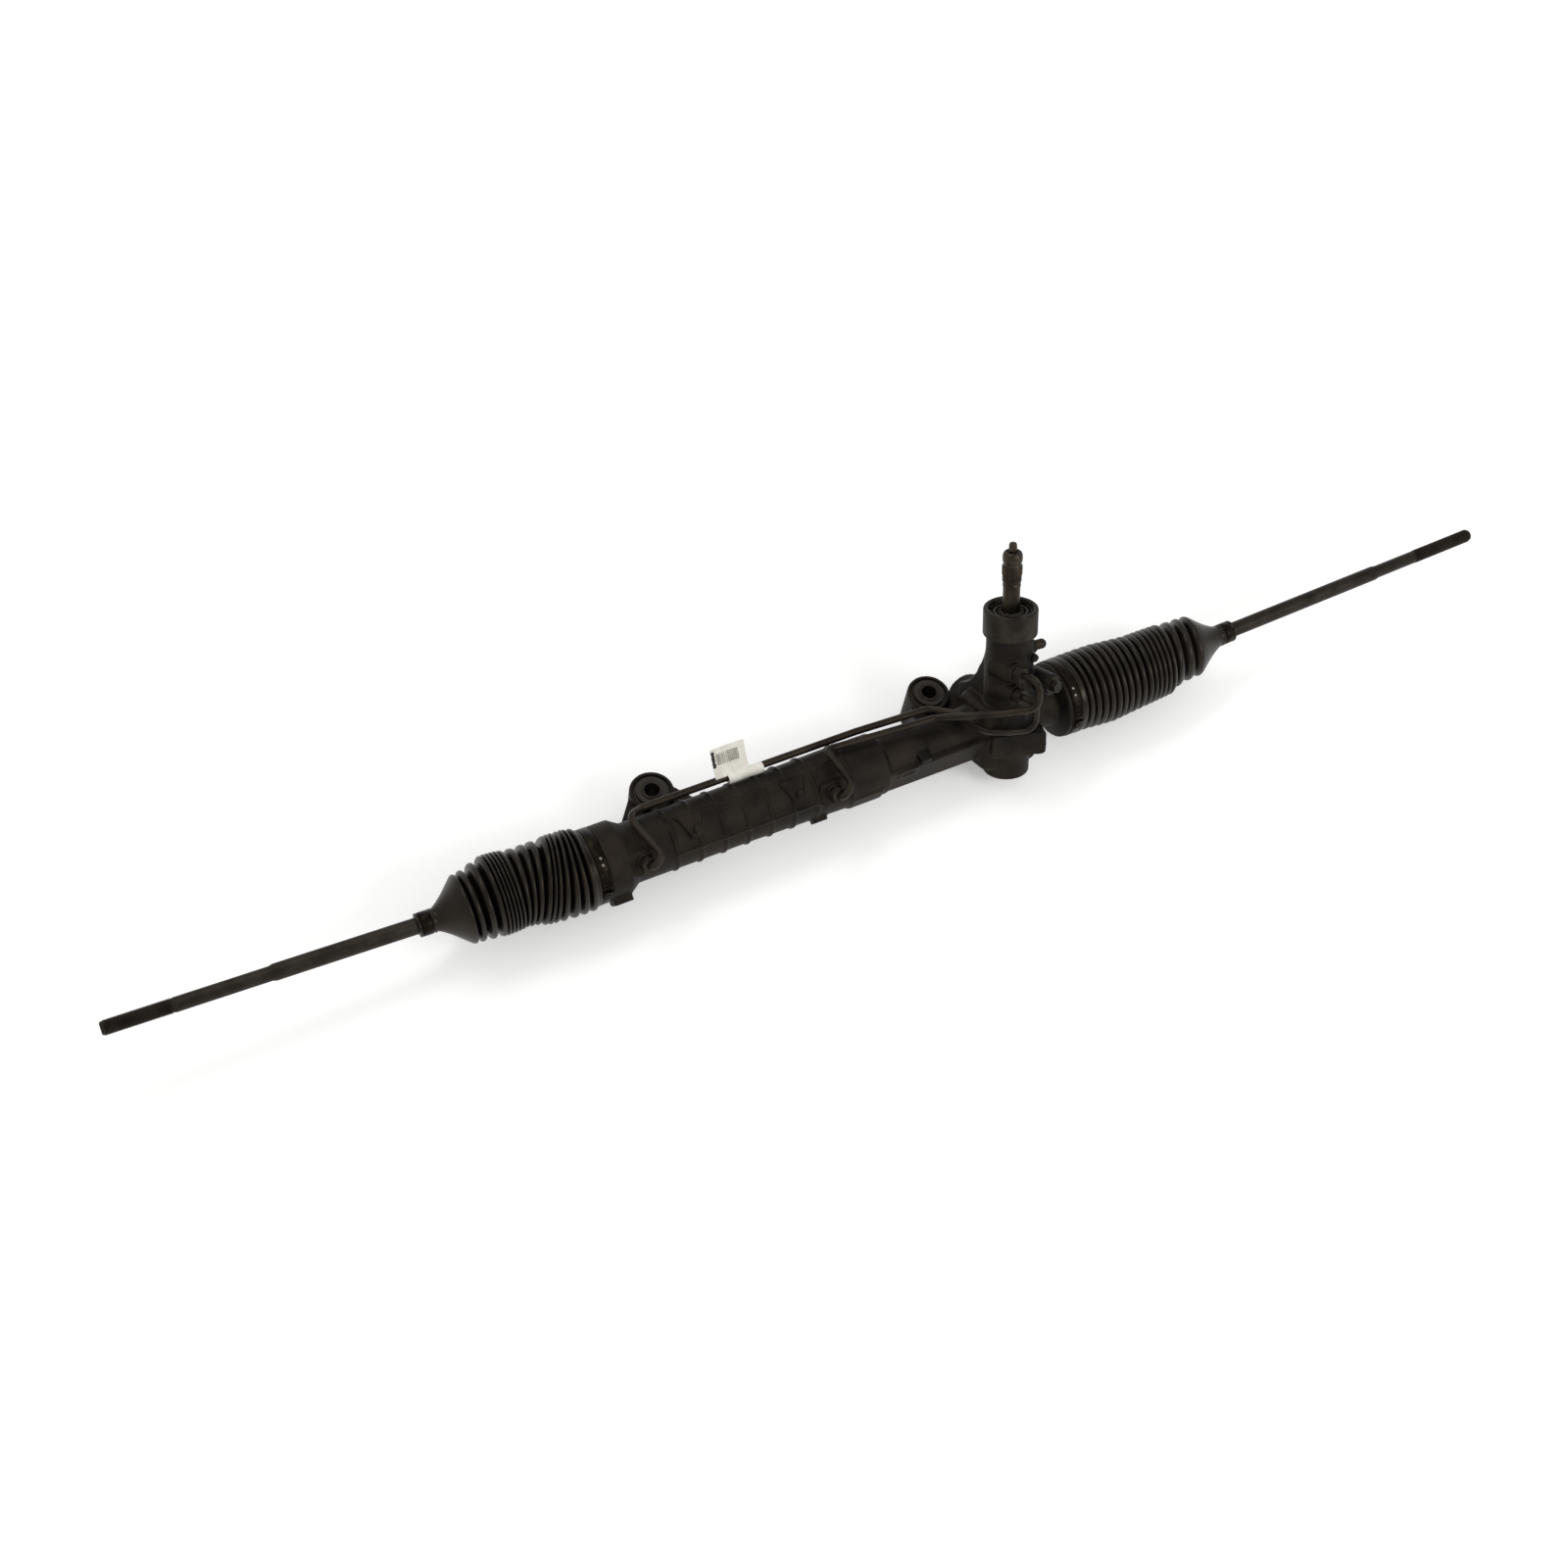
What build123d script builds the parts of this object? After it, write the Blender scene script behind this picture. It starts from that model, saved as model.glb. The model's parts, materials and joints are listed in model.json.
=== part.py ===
from build123d import *
import math
import os

# Hydraulic rack-and-pinion steering gear, in millimetres.
#
# Every piece is drawn in the rack's own axes: X runs along the rack bar from
# the left boot seat (x = 0) to the right, Y points to the rear of the car and
# Z points up along the mounting bolts.  write() then moves each piece into the
# part's frame, whose origin is the middle of the left mounting bore.

os.makedirs("parts", exist_ok=True)

# ---------------------------------------------------------------- clearances
RUN = 0.05        # radial running clearance of a sliding or turning fit
SEAT = 0.02       # radial gap between pieces that are seated in each other
LASH = 0.03       # gap on each flank of the rack and pinion teeth

# ------------------------------------------------------------------ rack bar
RACK_R = 12.5             # rack bar radius
BALL_SPAN = 578.0         # between the two inner ball centres
LEFT_BALL_X = -60.0       # left ball centre with the rack at rest
SHOULDER = 20.0           # ball centre to the shoulder that meets the rack bar
STUD_R = 7.5              # stud of a ball housing, screwed into the rack bar
STUD_LENGTH = 16.0
TRAVEL_LEFT = 68.5        # rack travel from rest to full left lock
TRAVEL_RIGHT = 51.5       # and to full right lock

RIGHT_BALL_X = LEFT_BALL_X + BALL_SPAN
BALL_X = {"left": LEFT_BALL_X, "right": RIGHT_BALL_X}
RACK_LEFT = LEFT_BALL_X + SHOULDER
RACK_RIGHT = RIGHT_BALL_X - SHOULDER

# ------------------------------------------------------------- housing tube
RIGHT_FLANGE_X = RIGHT_BALL_X - 98.0    # inner face of the right flange
LEFT_SEAT_R = 27.4        # boot seat, left
LEFT_FLANGE_X = -4.0      # outer face of the left flange
LEFT_FLANGE_R = 31.0
LEFT_FLANGE_END = 13.0
LEFT_CONE = 9.0           # length of the cone behind it
SLEEVE_R = 25.0           # cylinder sleeve, left part
SLEEVE_FULL_R = 26.4      # cylinder sleeve, right part
SLEEVE_SWELL_X = 120.0    # where the sleeve starts to grow to its full radius
SLEEVE_SWELL = 90.0
SLEEVE_END = 247.0
STEM_R = 21.6             # thin tube between the cylinder and the pinion
STEM_STEP_X = RIGHT_FLANGE_X - 134.0
STEM_SLIM_R = 20.6
RIGHT_FLANGE_END = RIGHT_FLANGE_X + 4.0
RIGHT_FLANGE_R = 33.4
RIGHT_SEAT_R = 30.0       # boot seat, right
BEAD = 1.3                # height of the bead that holds a boot on its seat
BEAD_WIDTH = 3.0
SEAT_WIDTH = 14.0
SEAT_X = {"left": LEFT_FLANGE_X - SEAT_WIDTH / 2, "right": RIGHT_FLANGE_END + SEAT_WIDTH / 2}
LEFT_END = LEFT_FLANGE_X - SEAT_WIDTH - BEAD_WIDTH     # end faces of the casting
RIGHT_END = RIGHT_FLANGE_END + SEAT_WIDTH + BEAD_WIDTH

BORE_R = 21.4             # bore for the cylinder liner and the ball housings
LINER_WALL = 2.2
BULKHEAD_X = 12.0         # outer face of the left bulkhead, the rack's stop
BULKHEAD_LENGTH = 12.0
LINER_LEFT = BULKHEAD_X + BULKHEAD_LENGTH
LINER_RIGHT = 209.0
INNER_SEAL_LENGTH = 8.0
INNER_SEAL_R = 18.0
CLEAR_BORE_R = 14.2       # where the casting only clears the rack bar
RIGHT_STOP_X = RIGHT_BALL_X - SHOULDER - TRAVEL_LEFT - 0.5   # stops the right ball housing

PISTON_X = 123.0          # piston centre with the rack at rest
PISTON_WIDTH = 16.0
LINER_R = BORE_R - LINER_WALL

TOWER_X = RIGHT_FLANGE_X - 51.9         # where the pinion axis meets the rack

# -------------------------------------------------------------- mount lugs
LUG_X = (63.5, TOWER_X - 43.6)          # along the rack
LUG_Y = 45.2              # behind the rack axis
LUG_TOP = 2.7             # above the rack axis
LUG_HEIGHT = 40.0
LUG_R = 18.5
BUSH_R = 15.3             # rubber bush outside radius
SLEEVE_TUBE_R = 8.8       # steel sleeve in the bush
BOLT_R = 6.4              # bolt hole
SLEEVE_PROUD = 1.0        # sleeve stands proud of the casting, each end
LUG_MID = LUG_TOP - LUG_HEIGHT / 2

# ------------------------------------------------------- pinion and its tower
LEAN_BACK = 26.74         # pinion axis leans to the rear
LEAN_SIDE = 4.01          # and to the right
PINION_OFFSET = 14.2      # between the pinion axis and the rack axis
MODULE = 2.0
TEETH = 7
SHIFT = 0.59              # profile shift of the pinion
PRESSURE = math.radians(20)
PINION_TIP_R = 9.6
PINION_FACE = 28.0        # tooth length

CAP_TOP = 111.6           # heights along the pinion axis from the rack's level
CAP_HEIGHT = 23.3
CAP_R = 21.7
NECK_R = 19.6
RECESS_R = 18.6           # inside the cap's open top
VALVE_BORE_R = 15.5
VALVE_FLOOR = 16.0
VALVE_R = 20.4            # casting round the valve
VALVE_TOP = 66.0
NECK_TOP = 97.5
GEAR_BORE_R = 10.4        # chamber round the pinion teeth
BEARING_R = 16.0          # lower ball bearing, 15 x 32 x 9
BEARING_BORE_R = 7.5
BEARING_WIDTH = 9.0
BEARING_TOP = -17.0
BOTTOM = -43.3
BOTTOM_R = 19.7
END_CAP_R = 17.4
SHAFT_TOP = 168.6
PORT_TURN = 20.0          # the cylinder ports face this far to the right
PORT_OFFSET = 14.0        # and pass this far to the left of the pinion axis
PORT_BOSS_R = 8.8
PORT_HEIGHTS = (42.0, 62.0)
PORT_FACE = 18.4          # port face in front of the pinion axis
PIPE_R = 3.0
NUT_AF = 14.0
NUT_HEIGHT = 7.0
UNION_DEPTH = 4.0         # of a union's nose in its port

GUIDE_R = 13.9            # rack guide that presses the bar into the pinion
GUIDE_LENGTH = 19.0
GUIDE_HOUSING_R = 19.5
GUIDE_HOUSING_END = 52.0  # from the rack axis

CYL_PORT_X = (26.0, 193.5)
CYL_PORT_ANGLE = 40.0     # above straight forward
CYL_PORT_FACE = 34.0      # from the rack axis

# ---------------------------------------------------------------- tie rods
BALL_R = 13.5
SEAT_R = 16.0             # outside of the ball seat
SOCKET_R = 18.0
ROD_R = 6.55
ROD_SLIM_R = 5.7
ROD_NECK_R = 5.75
THREAD_R = 6.0            # M12 x 1.5
ROD_TILT = {"left": 4.0, "right": 3.9}
ROD_REACH = {"left": 327.0, "right": 365.0}
THREAD_LENGTH = {"left": 51.0, "right": 65.0}
SLIM_LENGTH = {"left": 74.0, "right": 46.0}

# ------------------------------------------------------------------- boots
BOOT_WALL = 1.5
BOOT_REACH = {"left": 140.0, "right": 179.0}   # seat centre to small clamp
BOOT_FOLDS = {"left": 15, "right": 16}
BOOT_BIG_R = {"left": 34.2, "right": 35.2}
BOOT_SMALL_R = {"left": 30.2, "right": 29.4}
FOLD_DEPTH = 3.6
CONE_LENGTH = 30.0
CUFF_LENGTH = 12.0
CUFF_R = 8.8
BAND = 1.0                # clamp band thickness

ORIGIN = Vector(LUG_X[0], LUG_Y, LUG_MID)

AXIS = Vector(
    math.sin(math.radians(LEAN_SIDE)),
    math.cos(math.radians(LEAN_SIDE)) * math.sin(math.radians(LEAN_BACK)),
    math.cos(math.radians(LEAN_SIDE)) * math.cos(math.radians(LEAN_BACK)),
)
FRONT = Vector(1, 0, 0).cross(AXIS).normalized()
SIDE = AXIS.cross(FRONT)
# tower axes: x to the side, y to the rear, z up the pinion shaft
TOWER = Plane(origin=Vector(TOWER_X, 0, 0) + FRONT * PINION_OFFSET, x_dir=SIDE, z_dir=AXIS)


# ------------------------------------------------------------------ helpers
def turned(points):
    """A solid of revolution about X, from (along, radius) points."""
    outline = [Vector(x, r, 0) for x, r in points]
    return revolve(make_face(Polyline(*outline, close=True)), axis=Axis.X)


def turned_up(points):
    """A solid of revolution about Z, from (radius, height) points."""
    outline = [Vector(r, 0, h) for r, h in points]
    return revolve(make_face(Polyline(*outline, close=True)), axis=Axis.Z)


def ring(low, high, inner, outer):
    """A plain ring about X, solid when the inner radius is 0."""
    return turned([(low, inner), (low, outer), (high, outer), (high, inner)])


def ring_up(low, high, inner, outer):
    """A plain ring about Z, solid when the inner radius is 0."""
    return turned_up([(inner, low), (outer, low), (outer, high), (inner, high)])


def on_tower(shape):
    return TOWER.location * shape


def tower_point(side, height, front):
    """A point given to the side, up the shaft and in front of the pinion axis."""
    return TOWER.origin + SIDE * side + AXIS * height + FRONT * front


def radial(x, angle, distance):
    """A point off the rack axis, at an angle above straight forward."""
    a = math.radians(angle)
    return Vector(x, -distance * math.cos(a), distance * math.sin(a))


def bar(start, end, radius, inner=0.0):
    """A round bar, or a tube, between two points."""
    run = end - start
    foot = Plane(origin=start, z_dir=run.normalized())
    section = Circle(radius) - Circle(inner) if inner else Circle(radius)
    return extrude(foot * section, amount=run.length)


def hexagon(start, end, flats):
    run = end - start
    foot = Plane(origin=start, z_dir=run.normalized())
    return extrude(foot * RegularPolygon(flats / 2, 6, major_radius=False), amount=run.length)


def route(points, bend):
    """A path of straight runs with each corner rounded as far as its runs allow."""
    radii = []
    for i in range(1, len(points) - 1):
        before, after = points[i] - points[i - 1], points[i + 1] - points[i]
        turn = math.radians(before.get_angle(after))
        room = 0.47 * min(before.length, after.length) / math.tan(turn / 2)
        radii.append(min(bend, room))
    return FilletPolyline(*points, radius=radii)


def tube(points, radius, bend):
    path = route(points, bend)
    return sweep(Plane(origin=path @ 0, z_dir=path % 0) * Circle(radius), path=path)


def write(name, shape):
    export_step(Pos(-ORIGIN.X, -ORIGIN.Y, -ORIGIN.Z) * shape, f"parts/{name}.step")


# ------------------------------------------------------------------ casting
def tube_outside():
    cone = 4.0
    return turned([
        (LEFT_END, 0), (LEFT_END, LEFT_SEAT_R + BEAD),
        (LEFT_END + BEAD_WIDTH, LEFT_SEAT_R + BEAD), (LEFT_END + BEAD_WIDTH, LEFT_SEAT_R),
        (LEFT_END + BEAD_WIDTH + SEAT_WIDTH, LEFT_SEAT_R),
        (LEFT_END + BEAD_WIDTH + SEAT_WIDTH, LEFT_FLANGE_R),
        (LEFT_FLANGE_END, LEFT_FLANGE_R), (LEFT_FLANGE_END + LEFT_CONE, SLEEVE_R),
        (SLEEVE_SWELL_X, SLEEVE_R), (SLEEVE_SWELL_X + SLEEVE_SWELL, SLEEVE_FULL_R),
        (SLEEVE_END, SLEEVE_FULL_R), (SLEEVE_END + cone, STEM_R),
        (STEM_STEP_X, STEM_R), (STEM_STEP_X + cone, STEM_SLIM_R),
        (RIGHT_FLANGE_X - cone, STEM_SLIM_R), (RIGHT_FLANGE_X, RIGHT_FLANGE_R),
        (RIGHT_FLANGE_END, RIGHT_FLANGE_R), (RIGHT_FLANGE_END, RIGHT_SEAT_R),
        (RIGHT_END - BEAD_WIDTH, RIGHT_SEAT_R), (RIGHT_END - BEAD_WIDTH, RIGHT_SEAT_R + BEAD),
        (RIGHT_END, RIGHT_SEAT_R + BEAD), (RIGHT_END, 0),
    ])


def tube_bores():
    inner_seal = LINER_RIGHT + INNER_SEAL_LENGTH
    return turned([
        (LEFT_END - 1, 0), (LEFT_END - 1, BORE_R), (LINER_RIGHT, BORE_R),
        (LINER_RIGHT, INNER_SEAL_R), (inner_seal, INNER_SEAL_R), (inner_seal, CLEAR_BORE_R),
        (RIGHT_STOP_X, CLEAR_BORE_R), (RIGHT_STOP_X, BORE_R),
        (RIGHT_END + 1, BORE_R), (RIGHT_END + 1, 0),
    ])


RIB_X = (54.5, 76.0, 97.0, 118.0, 138.5, 159.0, 180.0, 212.0)
RIB_WIDTH = 2.2
RIB_HEIGHT = 1.3


def sleeve_ribs():
    """Hoops round the sleeve and two ribs along it."""
    ribs = []
    for x in RIB_X:
        grown = min(max((x - SLEEVE_SWELL_X) / SLEEVE_SWELL, 0), 1)
        under = SLEEVE_R + (SLEEVE_FULL_R - SLEEVE_R) * grown
        ribs.append(ring(x - RIB_WIDTH / 2, x + RIB_WIDTH / 2, BORE_R + 1, under + RIB_HEIGHT))
    first, last = RIB_X[0], RIB_X[-1]
    for angle in (28.0, 95.0):
        foot = radial(0, angle, 0)
        tip = radial(0, angle, SLEEVE_FULL_R + RIB_HEIGHT)
        rib = Plane(origin=Vector(first, 0, 0), x_dir=tip - foot, z_dir=(1, 0, 0))
        reach = SLEEVE_FULL_R + RIB_HEIGHT - BORE_R - 1
        section = rib * Pos(BORE_R + 1 + reach / 2, 0) * Rectangle(reach, RIB_WIDTH)
        ribs.append(extrude(section, amount=last - first))
    return ribs


WEB_TOP = -4.0            # lug web, below the rack axis
WEB_THICK = 22.0


def lug(x, left, right):
    """Boss for a rubber bush, with a web that spreads this far to each side on the tube."""
    boss = Pos(x, LUG_Y, LUG_TOP - LUG_HEIGHT / 2) * Cylinder(LUG_R, LUG_HEIGHT)
    boss = chamfer(boss.edges().filter_by(GeomType.CIRCLE), 1.0)
    spread = make_hull(
        (Pos(x, LUG_Y) * Circle(LUG_R - 1.5)).edges()
        + Line((x - left, 0), (x + right, 0)).edges()
    )
    web = extrude(Pos(0, 0, WEB_TOP - WEB_THICK) * spread, amount=WEB_THICK)
    return [boss, web]


PEG_AT = ((74.5, 61.0), (165.0, 58.0))
KEEL_ANGLE = -2.0         # flat along the front of the stem
KEEL_REACH = 22.5


def facing(x, angle):
    """A plane through the rack axis that faces outwards at an angle, its x along the rack."""
    return Plane(origin=Vector(x, 0, 0), x_dir=(1, 0, 0), z_dir=radial(0, angle, 1))


def small_bosses():
    """Drilled pegs, port bosses, feet and pads that stand off the tube."""
    out = []
    for x, angle in PEG_AT:
        out.append(bar(radial(x, angle, BORE_R + 1), radial(x, angle, 32.0), 3.6))
        leaf = Polyline((-11, 7), (11, 7), (7, -3), (4.4, -12), (-4.4, -12), (-7, -3), close=True)
        leaf = facing(x - 2, angle + 13) * make_face(leaf)
        out.append(extrude(leaf, amount=27.9))
    for x in CYL_PORT_X:
        root = radial(x, CYL_PORT_ANGLE, BORE_R + 1)
        out.append(bar(root, radial(x, CYL_PORT_ANGLE, CYL_PORT_FACE), 8.6))
        pad = Plane(origin=root, x_dir=(1, 0, 0), z_dir=root - Vector(x, 0, 0))
        out.append(extrude(pad * RectangleRounded(23, 20, 4), amount=CYL_PORT_FACE - BORE_R - 5))
    foot = facing((LEFT_FLANGE_X + LEFT_FLANGE_END) / 2, -30)
    out.append(extrude(foot * Rectangle(LEFT_FLANGE_END - LEFT_FLANGE_X - 1, 17), amount=LEFT_FLANGE_R + 4.6))
    foot = facing(SLEEVE_END - 64, -26)
    out.append(extrude(foot * Rectangle(13, 9), amount=SLEEVE_FULL_R + 3.2))
    out.append(extrude(facing(SLEEVE_END - 21, -10) * Rectangle(30, 16), amount=SLEEVE_FULL_R + 0.6))
    keel_end = TOWER_X - 26
    keel = facing((SLEEVE_END + keel_end) / 2, KEEL_ANGLE) * Rectangle(keel_end - SLEEVE_END + 4, 27)
    out.append(extrude(keel, amount=KEEL_REACH))
    frame = Rectangle(17, 10) - Rectangle(11.5, 5)
    out.append(extrude(facing(SLEEVE_END + 18, KEEL_ANGLE) * Pos(0, 9) * frame, amount=KEEL_REACH + 1.2))
    tab = facing(SLEEVE_END + 35, KEEL_ANGLE) * Pos(0, 15) * Rectangle(10, 6)
    out.append(extrude(tab, amount=KEEL_REACH - 0.6))
    return out


GEARBOX_LOW = -34.0
GEARBOX_HIGH = 26.0


def tower_outside():
    """Casting round the pinion, the valve and the rack guide, in tower axes."""
    post = turned_up([
        (0, BOTTOM + 2.5), (BOTTOM_R - 2.5, BOTTOM), (BOTTOM_R, BOTTOM + 2.5),
        (BOTTOM_R, 14), (VALVE_R, 20), (VALVE_R, VALVE_TOP), (NECK_R, VALVE_TOP + 8),
        (NECK_R, NECK_TOP), (0, NECK_TOP),
    ])
    gearbox = Box(54, 46, GEARBOX_HIGH - GEARBOX_LOW)
    gearbox = Pos(-1, 12, (GEARBOX_HIGH + GEARBOX_LOW) / 2) * gearbox
    gearbox = fillet(gearbox.edges().filter_by(Axis.Z), 9)
    gearbox = chamfer(gearbox.edges().filter_by(Plane.XY), 3)
    pad = Pos(4, -13.5, -6) * Box(47, 23, 21)
    pad = Rot(0, 0, -17) * fillet(pad.edges().filter_by(Axis.Y), 3)
    guide = Pos(0, PINION_OFFSET, 0) * Rot(-90, 0, 0) * Cylinder(
        GUIDE_HOUSING_R, GUIDE_HOUSING_END, align=(Align.CENTER, Align.CENTER, Align.MIN)
    )
    return [post, gearbox, pad, guide]


def gusset():
    """Curved web from the neck of the tower back to the right-hand lug."""
    outline = [(8, 76), (13, 68), (17, 60), (24, 47), (32, 36), (40, 29), (52, 23)]
    edge = Spline(*[Vector(0, y, z) for y, z in outline])
    rest = Polyline(Vector(0, 52, 23), Vector(0, 52, -14), Vector(0, 8, -14), Vector(0, 8, 76))
    face = make_face([edge] + list(rest.edges()))
    return extrude(face, amount=7, both=True)


PRESSURE_PORT_TURN = 15.0
PRESSURE_PORT_AT = (24.0, 46.0, 29.0)    # side, height, front of its open end
PRESSURE_PORT_R = 9.6
RETURN_STUB_AT = (31.5, 70.0, 0.0)
RETURN_STUB_R = 4.3


def pressure_port_axis():
    a = math.radians(PRESSURE_PORT_TURN)
    return FRONT * math.cos(a) + SIDE * math.sin(a)


def tower_bores():
    """Bores of the tower, in tower axes."""
    shaft = turned_up([
        (0, BOTTOM - 1), (END_CAP_R, BOTTOM - 1), (END_CAP_R, -34), (BEARING_R + SEAT, -34),
        (BEARING_R + SEAT, BEARING_TOP), (GEAR_BORE_R, BEARING_TOP), (GEAR_BORE_R, VALVE_FLOOR),
        (VALVE_BORE_R, VALVE_FLOOR), (VALVE_BORE_R, NECK_TOP + 1), (0, NECK_TOP + 1),
    ])
    guide = Pos(0, PINION_OFFSET, 0) * Rot(-90, 0, 0) * Cylinder(
        GUIDE_R + RUN, GUIDE_HOUSING_END + 1, align=(Align.CENTER, Align.CENTER, Align.MIN)
    )
    return [shaft, guide]


def housing():
    solids = sleeve_ribs() + small_bosses()
    solids += lug(LUG_X[0], 57.5, 52.0) + lug(LUG_X[1], 28.5, 47.5)
    solids += [on_tower(s) for s in tower_outside()]
    solids.append(on_tower(Pos(-9, 0, 0) * gusset()))
    for height in PORT_HEIGHTS:
        solids.append(bar(port_point(height, -6), port_point(height, PORT_FACE), PORT_BOSS_R))
    open_end = tower_point(*PRESSURE_PORT_AT)
    solids.append(bar(open_end - pressure_port_axis() * 34, open_end, PRESSURE_PORT_R))
    stub_root = tower_point(0, RETURN_STUB_AT[1], 0)
    solids.append(bar(stub_root, tower_point(NECK_R + 5, *RETURN_STUB_AT[1:]), RETURN_STUB_R + 1.6))
    boss = tower_point(12, 70, 12)
    solids.append(bar(boss - FRONT * 6, boss + FRONT * 9, 3.6))
    body = tube_outside()
    for solid in solids:
        body = body.fuse(solid)

    cuts = [tube_bores()] + [on_tower(b) for b in tower_bores()]
    for x in LUG_X:
        cuts.append(Pos(x, LUG_Y, LUG_MID) * Cylinder(BUSH_R, LUG_HEIGHT + 2))
    for x, angle in PEG_AT:
        cuts.append(bar(radial(x, angle, 27), radial(x, angle, 33), 1.2))
    for x in CYL_PORT_X:
        cuts.append(bar(radial(x, CYL_PORT_ANGLE, 18), radial(x, CYL_PORT_ANGLE, 36), 2.2))
        cuts.append(bar(
            radial(x, CYL_PORT_ANGLE, CYL_PORT_FACE - UNION_DEPTH - 0.2), radial(x, CYL_PORT_ANGLE, 36), 5.5
        ))
    for height in PORT_HEIGHTS:
        outer = port_point(height, PORT_FACE + 3)
        cuts.append(bar(port_point(height, PORT_FACE), outer + (outer - port_point(height, PORT_FACE)), 9.0))
        cuts.append(bar(port_point(height, 0), outer, 2.2))
        cuts.append(bar(port_point(height, PORT_FACE - UNION_DEPTH - 0.2), outer, 5.5))
    cuts.append(bar(open_end - pressure_port_axis() * 13, open_end + pressure_port_axis(), 7.0))
    inlet = tower_point(0, PRESSURE_PORT_AT[1], 10)
    cuts.append(bar(inlet, open_end - pressure_port_axis() * 12, 2.0))
    cuts.append(bar(stub_root, tower_point(NECK_R + 6, *RETURN_STUB_AT[1:]), 3.4))
    for cut in cuts:
        body = body.cut(cut)
    return body


def port_point(height, distance):
    """A point on the axis of a valve port, which passes to the left of the valve."""
    a = math.radians(PORT_TURN)
    ahead = FRONT * math.cos(a) + SIDE * math.sin(a)
    across = SIDE * math.cos(a) - FRONT * math.sin(a)
    return TOWER.origin + AXIS * height - across * PORT_OFFSET + ahead * distance


# ------------------------------------------------------------ mount bushings
def bush_rubber(x):
    height = LUG_HEIGHT + 0.6
    groove = 3.0
    body = ring_up(-height / 2, height / 2, SLEEVE_TUBE_R, BUSH_R - SEAT)
    for sign in (-1, 1):
        edge = sign * height / 2
        body -= ring_up(min(edge, edge - sign * groove), max(edge, edge - sign * groove),
                     BUSH_R - 2.2, BUSH_R + 1)
    return Pos(x, LUG_Y, LUG_MID) * body


def bush_sleeve(x):
    half = LUG_HEIGHT / 2 + SLEEVE_PROUD
    return Pos(x, LUG_Y, LUG_MID) * ring_up(-half, half, BOLT_R, SLEEVE_TUBE_R - SEAT)


# ---------------------------------------------------------- cylinder inside
def cylinder_liner():
    body = ring(LINER_LEFT, LINER_RIGHT, LINER_R, BORE_R - SEAT)
    for x in CYL_PORT_X:
        body -= bar(radial(x, CYL_PORT_ANGLE, 15), radial(x, CYL_PORT_ANGLE, 25), 2.2)
    return body


def left_bulkhead():
    return turned([
        (BULKHEAD_X + 1.6, RACK_R + RUN), (BULKHEAD_X + 1.6, BORE_R - SEAT),
        (LINER_LEFT, BORE_R - SEAT), (LINER_LEFT, 17.0), (LINER_LEFT - 5.5, 17.0),
        (LINER_LEFT - 5.5, RACK_R + RUN),
    ])


def rod_seal(x_low, x_high, outer):
    """Lip seal round the rack bar."""
    return turned([
        (x_low, RACK_R + RUN), (x_low, outer), (x_high, outer), (x_high, outer - 1.6),
        (x_low + 1.8, outer - 1.6), (x_low + 1.8, RACK_R + 1.6), (x_high, RACK_R + RUN),
    ])


def snap_ring():
    """Split ring that holds the left bulkhead."""
    body = ring(BULKHEAD_X, BULKHEAD_X + 1.6, BORE_R - 2.4, BORE_R - SEAT)
    return body - Pos(BULKHEAD_X, 0, -BORE_R) * Box(6, 9, 10)


# -------------------------------------------------------------------- rack
def tooth_gap():
    """Section of one gap between rack teeth, in tower axes: x along, y deep."""
    pitch = math.pi * MODULE
    line = MODULE * TEETH / 2 + SHIFT * MODULE
    deep, shallow = line + 1.82, line - MODULE - 1.0
    slope = math.tan(PRESSURE)

    def half(y):
        return pitch / 4 + (line - y) * slope + LASH

    return [(-half(shallow), shallow), (-half(deep), deep), (half(deep), deep), (half(shallow), shallow)]


def rack_bar():
    body = ring(RACK_LEFT, RACK_RIGHT, 0, RACK_R)
    for x, sign in ((RACK_LEFT, 1), (RACK_RIGHT, -1)):
        low, high = sorted((x - sign, x + sign * (STUD_LENGTH + 2)))
        body -= ring(low, high, 0, STUD_R)
    margin = 16.0
    low = -TRAVEL_RIGHT - margin
    high = TRAVEL_LEFT + margin
    tip = MODULE * TEETH / 2 + SHIFT * MODULE - MODULE
    flat = Pos((low + high) / 2, tip - 10, 0) * Box(high - low, 20, 60)
    pitch = math.pi * MODULE
    gaps = []
    for n in range(math.ceil(low / pitch + 0.5), math.floor(high / pitch - 0.5) + 1):
        outline = [(x + n * pitch, y) for x, y in tooth_gap()]
        gaps.append(extrude(make_face(Polyline(*outline, close=True)), amount=30, both=True))
    groove = ring(PISTON_X - 5, PISTON_X + 5, RACK_R - 1.0, RACK_R + 1)
    return body.cut(on_tower(flat), groove, *[on_tower(g) for g in gaps])


def piston():
    half = PISTON_WIDTH / 2
    return turned([
        (PISTON_X - half, RACK_R + SEAT), (PISTON_X - half, LINER_R - 0.4),
        (PISTON_X - 2, LINER_R - 0.4), (PISTON_X - 2, LINER_R - 2.4),
        (PISTON_X + 2, LINER_R - 2.4), (PISTON_X + 2, LINER_R - 0.4),
        (PISTON_X + half, LINER_R - 0.4), (PISTON_X + half, RACK_R + SEAT),
        (PISTON_X + 5, RACK_R + SEAT), (PISTON_X + 5, RACK_R - 1 + SEAT),
        (PISTON_X - 5, RACK_R - 1 + SEAT), (PISTON_X - 5, RACK_R + SEAT),
    ])


def piston_ring():
    return ring(PISTON_X - 2, PISTON_X + 2, LINER_R - 2.4, LINER_R - RUN)


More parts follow.
